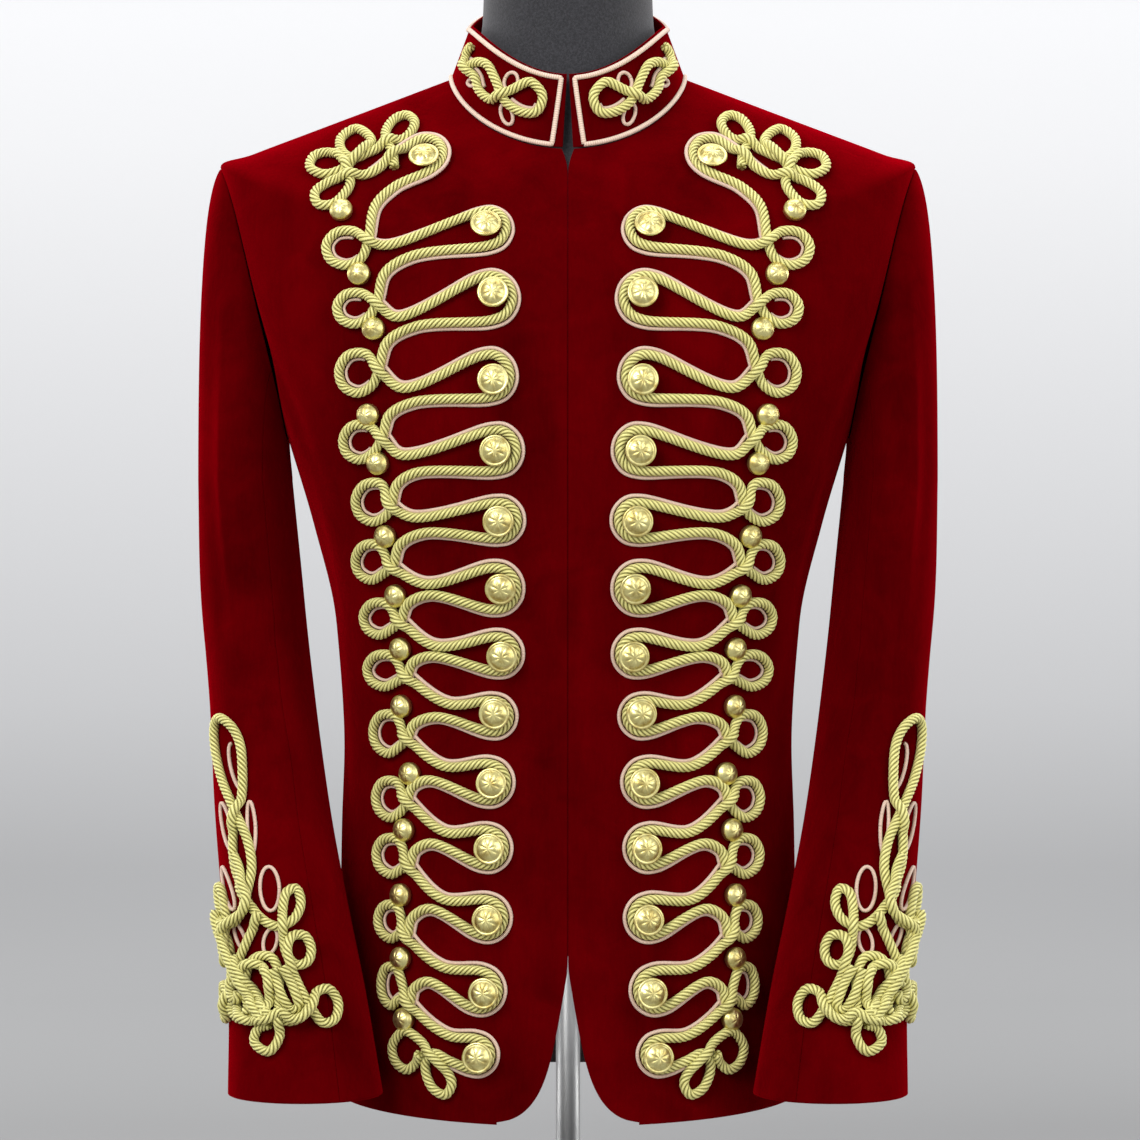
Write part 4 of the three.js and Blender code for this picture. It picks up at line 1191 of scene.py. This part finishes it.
def stood(points, origin, normal):
    """Points turned so that their +Z is the normal, and moved to the origin."""
    across = unit(np.cross([0, 0, 1], normal))
    return origin + points @ np.array([across, np.cross(normal, across), normal])


# ---- Add-on ----

class JacketSettings(PropertyGroup):
    """Sizes and colours of the jacket's trimmings and cloth."""

    cord_radius: FloatProperty(
        name="Cord radius", description="Half the thickness of the frogging cord",
        default=0.0032, unit="LENGTH", precision=5)
    cord_lay: FloatProperty(
        name="Cord lay", description="Length in which a strand turns once round the cord",
        default=0.0168, unit="LENGTH", precision=5)
    gimp_radius: FloatProperty(
        name="Gimp radius", description="Half the thickness of the thin cream cord",
        default=0.0012, unit="LENGTH", precision=5)
    piping_radius: FloatProperty(
        name="Piping radius", description="Half the thickness of the collar's edging cord",
        default=0.0016, unit="LENGTH", precision=5)
    sheen: FloatProperty(
        name="Velvet sheen", description="How strongly the pile glows at a grazing angle",
        default=0.55, min=0, max=1)
    velvet_deep: FloatVectorProperty(
        name="Velvet shade", description="Colour of the pile seen along its nap",
        default=(0.052, 0.0, 0.0006), subtype="COLOR")
    velvet_bright: FloatVectorProperty(
        name="Velvet light", description="Colour of the pile brushed the other way",
        default=(0.125, 0.0, 0.0012), subtype="COLOR")
    cord_light: FloatVectorProperty(
        name="Cord light", description="Colour of the cord's strands",
        default=(0.93, 0.87, 0.33), subtype="COLOR")
    # The cord's shade colour is painted shade in the crevices between strands and yarns, and also
    # the colour of worn spots.
    cord_shade: FloatVectorProperty(
        name="Cord shade", description="Colour between the cord's strands",
        default=(0.20, 0.17, 0.015), subtype="COLOR")


class JacketOperator(Operator):
    """Shared settings of the jacket's steps."""

    bl_options = {"REGISTER", "UNDO"}

    @property
    def settings(self):
        return bpy.context.scene.jacket


class JACKET_OT_fronts_and_backs(JacketOperator):
    """Builds the two fronts and two backs as cloth walls"""

    bl_idname = "jacket.fronts_and_backs"
    bl_label = "Fronts and backs"

    def execute(self, context):
        add_cloth("front", *front_panel())
        add_cloth("back", *back_panel())
        return {"FINISHED"}


class JACKET_OT_sleeves(JacketOperator):
    """Builds the two-piece sleeves as cloth walls"""

    bl_idname = "jacket.sleeves"
    bl_label = "Sleeves"

    def execute(self, context):
        add_cloth("top_sleeve", *sleeve_panel(-120, 100, 44))
        add_cloth("under_sleeve", *sleeve_panel(100, 240, 26))
        return {"FINISHED"}


class JACKET_OT_collar(JacketOperator):
    """Builds the standing collar and the edging cord sewn round it"""

    bl_idname = "jacket.collar"
    bl_label = "Collar and piping"

    def execute(self, context):
        points, normals = collar_grid()
        every, faces, kinds = cloth_wall(points, normals)
        finishes = [material("velvet"), material("velvet")]
        piece = new_piece("velvet_collar", every, faces, finishes, face_material=kinds)
        piece["flat"] = list(flat_size(points))
        ride(piece, "collar")
        self.add_piping()
        return {"FINISHED"}

    def add_piping(self):
        """Lays the edging cord along all four edges of the band."""
        rises = np.linspace(3, 93.5, 24)
        inset = np.degrees(np.linspace(6.4, 3.6, 24) / 70)
        front = np.stack([np.degrees(collar_edge(rises / 100)) + inset, rises], -1)
        other = front[::-1] * [-1, 1] + [360, 0]
        corner = 1.2  # degrees that each corner's rounding takes
        top, bottom = (
            np.stack([np.linspace(start + turn, end - turn, 150), np.full(150, rise)], -1)
            for start, end, turn, rise in (
                (front[-1, 0], other[0, 0], corner, rises[-1] + 0.6),
                (other[-1, 0], front[0, 0], -corner, rises[0] - 0.4)))
        loop = np.vstack([front, top, other, bottom, front[:1]])
        radius = self.settings.piping_radius / MM
        points, faces, uv = laid_gimp(loop, on_collar, radius, high=0.35)
        piece = new_piece("collar_piping", points, faces, [material("piping")], uv=uv)
        ride(piece)


class JACKET_OT_frogging(JacketOperator):
    """Lays the twisted cord of the shoulder knots, fingers and side loops"""

    bl_idname = "jacket.frogging"
    bl_label = "Frogging"

    def execute(self, context):
        radius, lay = self.settings.cord_radius / MM, self.settings.cord_lay / MM
        frogging = laid_ropes([frogging_path()[0]], on_front, radius, lay)
        add_cords("cord_frogging", *frogging, "cord", "frogging")
        return {"FINISHED"}


class JACKET_OT_knots(JacketOperator):
    """Lays the cord knots of the collar and the cuffs"""

    bl_idname = "jacket.knots"
    bl_label = "Collar and cuff knots"

    def execute(self, context):
        radius, lay = self.settings.cord_radius / MM, self.settings.cord_lay / MM
        knot = laid_ropes([COLLAR_KNOT], on_collar, radius, lay)
        add_cords("cord_collar_knot", *knot, "cord", "collar_knot")
        whole = [(-across, z) for across, z in CUFF_HALF[::-1]] + list(CUFF_HALF[1:])
        knot = laid_ropes([whole, CUFF_ARCH, *CUFF_STRANDS], on_cuff, radius, lay)
        add_cords("cord_cuff_knot", *knot, "cord", "cuff_knot")
        return {"FINISHED"}


class JACKET_OT_gimp(JacketOperator):
    """Lays the thin cream cord that follows the frogging and the knots"""

    bl_idname = "jacket.gimp"
    bl_label = "Gimp"

    def execute(self, context):
        radius = self.settings.gimp_radius / MM
        beside = self.settings.cord_radius / MM + radius
        path, marks = frogging_path()
        flat, places = curve(path)
        parts = []
        for (first, last), finger in zip(marks, FINGERS):
            line = flat[places[first]:places[last + 2] + 1]
            from_tip = np.hypot(line[:, 0] - finger["tip_x"], line[:, 1] - finger["tip_z"])
            to_end = np.hypot(*(line - line[-1]).T)
            aside = beside - 0.75 + 1.4 * np.exp(-((from_tip / 17) ** 2))
            aside -= 1.2 * np.exp(-to_end / 7)
            high = 0.9 + 2.2 * np.clip((line[:, 1] - 700) / 20, 0, 1)
            parts.append(laid_gimp(line, on_front, radius, aside, high))
        for _, last in marks[:-1]:
            loop = flat[places[last + 3]:places[last + 8] + 1]
            parts.append(laid_gimp(loop, on_front, 0.8 * radius, 0.45 - beside))
        add_cords("gimp_front", *merged(parts), "gimp")
        knot, places = curve(COLLAR_KNOT)
        parts = [laid_gimp(knot[places[6]:places[9]], on_collar, radius, beside - 0.5),
                 laid_gimp(knot[places[15]:places[18]], on_collar, radius, 0.5 - beside)]
        parts += [laid_gimp(ellipse(loop), on_collar, radius) for loop in COLLAR_GIMP]
        add_cords("gimp_collar", *merged(parts), "gimp")
        parts = [laid_gimp(ellipse(loop), on_cuff, radius) for loop in CUFF_GIMP]
        add_cords("gimp_cuff", *merged(parts), "gimp")
        return {"FINISHED"}


class JACKET_OT_buttons(JacketOperator):
    """Sets the large domed buttons and the small ones in the side loops"""

    bl_idname = "jacket.buttons"
    bl_label = "Buttons"

    def execute(self, context):
        large = turned(BUTTON_PROFILE, 64, petals=8)
        small = turned(BEAD_PROFILE, 48, petals=6)
        for i, finger in enumerate(FINGERS, 1):
            for name, shape, x, z in (
                ("brass_button", large, finger["button_x"], finger["button_z"]),
                ("brass_bead", small, finger["bead_x"], finger["bead_z"]),
            ):
                (origin,), (normal,) = on_front(np.array([[x, z]]))
                points = stood(shape[0], origin, normal)
                pair = on_both_sides(
                    f"{name}_{i:02d}", points, shape[1], materials=[material("brass")])
                for side, piece in zip(SIDES, pair):
                    node = f"button_{side}_{i:02d}" if name == "brass_button" else None
                    ride(piece, node)
        return {"FINISHED"}


class JACKET_OT_dress_form(JacketOperator):
    """Builds the padded dress form inside the jacket"""

    bl_idname = "jacket.dress_form"
    bl_label = "Dress form"

    def execute(self, context):
        angle = np.radians(np.arange(0, 360, 3.75))
        fine = glide(FORM_ROWS)(np.linspace(0, len(FORM_ROWS) - 1, 3 * len(FORM_ROWS)))
        below = [(1.25, 12, FORM_BOTTOM), (1.26, 10.2, FORM_BOTTOM + 0.6),
                 (1.3, 9.5, FORM_BOTTOM + 2.5), (1.4, 9, FORM_BOTTOM + 12)]
        rings = [self.ring(angle, row, inside, z) for row, inside, z in below]
        rings += [self.ring(angle, row, inside) for row, inside in fine]
        neck = track(NECK_RINGS)
        for place in np.linspace(0, 3, 16).tolist() + [3.5, 4, 4.5, 5, 5.5, 6]:
            rings.append(ring_point(neck(place), angle))
        every = np.vstack([*rings, rings[0].mean(0), rings[-1].mean(0)])
        faces = capped_faces(len(rings), len(angle))
        piece = new_piece("jersey_form", every, faces, [material("form")])
        ride(piece, "form_body")
        return {"FINISHED"}

    def ring(self, angle, row, inside, z=None):
        """A ring of the form, kept between its two arm plates."""
        row = np.full(angle.shape, row)
        point = plain_body(angle, row) - plain_body_normal(angle, row) * inside
        beyond = (np.abs(point[:, 0]) - ARM_PLATE["x"]) / ARM_PLATE["soft"]
        point[:, 0] -= np.sign(point[:, 0]) * ARM_PLATE["soft"] * np.log1p(np.exp(beyond))
        if z is not None:
            point[:, 2] = z
        return point


class JACKET_OT_stand(JacketOperator):
    """Builds the pole with its flange and the round base"""

    bl_idname = "jacket.stand"
    bl_label = "Stand"

    def execute(self, context):
        for name, profile, sides, node in (
            ("steel_pole", POLE_PROFILE, 64, "stand_pole"),
            ("steel_base", BASE_PROFILE, 160, "stand_base"),
        ):
            points, faces = turned(profile, sides)
            piece = new_piece(name, points, faces, [material("steel")])
            ride(piece, node)
        return {"FINISHED"}


class JACKET_OT_cloth_facts(JacketOperator):
    """Goes through every cloth piece, what it rests on and what is sewn to it, but records
    nothing
    """

    bl_idname = "jacket.cloth_facts"
    bl_label = "Cloth facts"

    def execute(self, context):
        numbers = [f"{i:02d}" for i in range(1, len(FINGERS) + 1)]
        for side in SIDES:
            buttons = [f"brass_{kind}_{n}_{side}" for kind in ("button", "bead") for n in numbers]
            sewn = [f"cord_frogging_{side}", f"gimp_front_{side}", *buttons]
            self.declare(f"velvet_front_{side}", "form_body", sewn)
            self.declare(f"velvet_back_{side}", "form_body")
            self.declare(
                f"velvet_top_sleeve_{side}", [f"front_{side}", f"back_{side}"],
                [f"cord_cuff_knot_{side}", f"gimp_cuff_{side}"])
            self.declare(f"velvet_under_sleeve_{side}", [f"front_{side}", f"back_{side}"])
        self.declare(
            "velvet_collar", ["front_left", "front_right", "back_left", "back_right"],
            ["collar_piping", *(f"{kind}_{side}" for kind in ("cord_collar_knot", "gimp_collar")
                                for side in SIDES)])
        return {"FINISHED"}

    def declare(self, name, rests_on, sewn=()):
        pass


class JACKET_OT_stage(JacketOperator):
    """Sets the pale floor, the soft lights and the camera"""

    bl_idname = "jacket.stage"
    bl_label = "Stage"

    def execute(self, context):
        self.add_backdrop()
        for light in LIGHTS:
            self.add_light(**light)
        world = bpy.data.worlds.new("studio")
        world.use_nodes = True
        glow = world.node_tree.nodes["Background"].inputs
        glow["Color"].default_value = (0.92, 0.94, 1, 1)
        glow["Strength"].default_value = 0.55
        context.scene.world = world
        context.scene.view_settings.view_transform = "Standard"
        self.add_camera(context)
        return {"FINISHED"}

    def add_backdrop(self):
        """A floor that bends up into a wall behind the jacket."""
        turn = np.linspace(0, math.pi / 2, 24)
        y = [COVE["front"], *(COVE["back"] + COVE["bend"] * (np.sin(turn) - 1)), COVE["back"]]
        z = [0, *(COVE["bend"] * (1 - np.cos(turn))), COVE["top"]]
        points = [(side * COVE["half"] / MM, a / MM, b / MM)
                  for a, b in zip(y, z) for side in (-1, 1)]
        piece = new_piece("backdrop", points, grid_faces(len(y), 2), [material("backdrop")])

    def add_light(self, name, energy, size, place, aim):
        data = bpy.data.lights.new(name, "AREA")
        data.energy, data.size = energy, size
        light = bpy.data.objects.new(name, data)
        light.location = place
        direction = mathutils.Vector(aim) - mathutils.Vector(place)
        light.rotation_euler = direction.to_track_quat("-Z", "Y").to_euler()
        light.visible_camera = False
        bpy.context.scene.collection.objects.link(light)

    def add_camera(self, context):
        data = bpy.data.cameras.new("camera")
        data.sensor_width, data.lens = CAMERA["sensor"], CAMERA["lens"]
        camera = bpy.data.objects.new("camera", data)
        camera.location = CAMERA["place"]
        camera.rotation_euler = (math.pi / 2, 0, 0)
        context.scene.collection.objects.link(camera)
        context.scene.camera = camera


STEPS = (
    JACKET_OT_fronts_and_backs, JACKET_OT_sleeves, JACKET_OT_collar, JACKET_OT_frogging,
    JACKET_OT_gimp, JACKET_OT_knots, JACKET_OT_buttons, JACKET_OT_dress_form,
    JACKET_OT_stand, JACKET_OT_cloth_facts, JACKET_OT_stage,
)


class JACKET_PT_steps(Panel):
    """Lists the steps that build the jacket"""

    bl_idname = "JACKET_PT_steps"
    bl_label = "Hussar jacket"
    bl_space_type = "VIEW_3D"
    bl_region_type = "UI"
    bl_category = "Jacket"

    def draw(self, context):
        for name in JacketSettings.__annotations__:
            self.layout.prop(context.scene.jacket, name)
        for step in STEPS:
            self.layout.operator(step.bl_idname)


CLASSES = (JacketSettings, *STEPS, JACKET_PT_steps)


def register():
    for cls in CLASSES:
        bpy.utils.register_class(cls)
    bpy.types.Scene.jacket = PointerProperty(type=JacketSettings)


def unregister():
    del bpy.types.Scene.jacket
    for cls in reversed(CLASSES):
        bpy.utils.unregister_class(cls)


def main():
    register()
    bpy.ops.jacket.fronts_and_backs()
    bpy.ops.jacket.sleeves()
    bpy.ops.jacket.collar()
    bpy.ops.jacket.frogging()
    bpy.ops.jacket.gimp()
    bpy.ops.jacket.knots()
    bpy.ops.jacket.buttons()
    bpy.ops.jacket.dress_form()
    bpy.ops.jacket.stand()
    bpy.ops.jacket.cloth_facts()
    bpy.ops.jacket.stage()


if __name__ == "__main__":
    main()
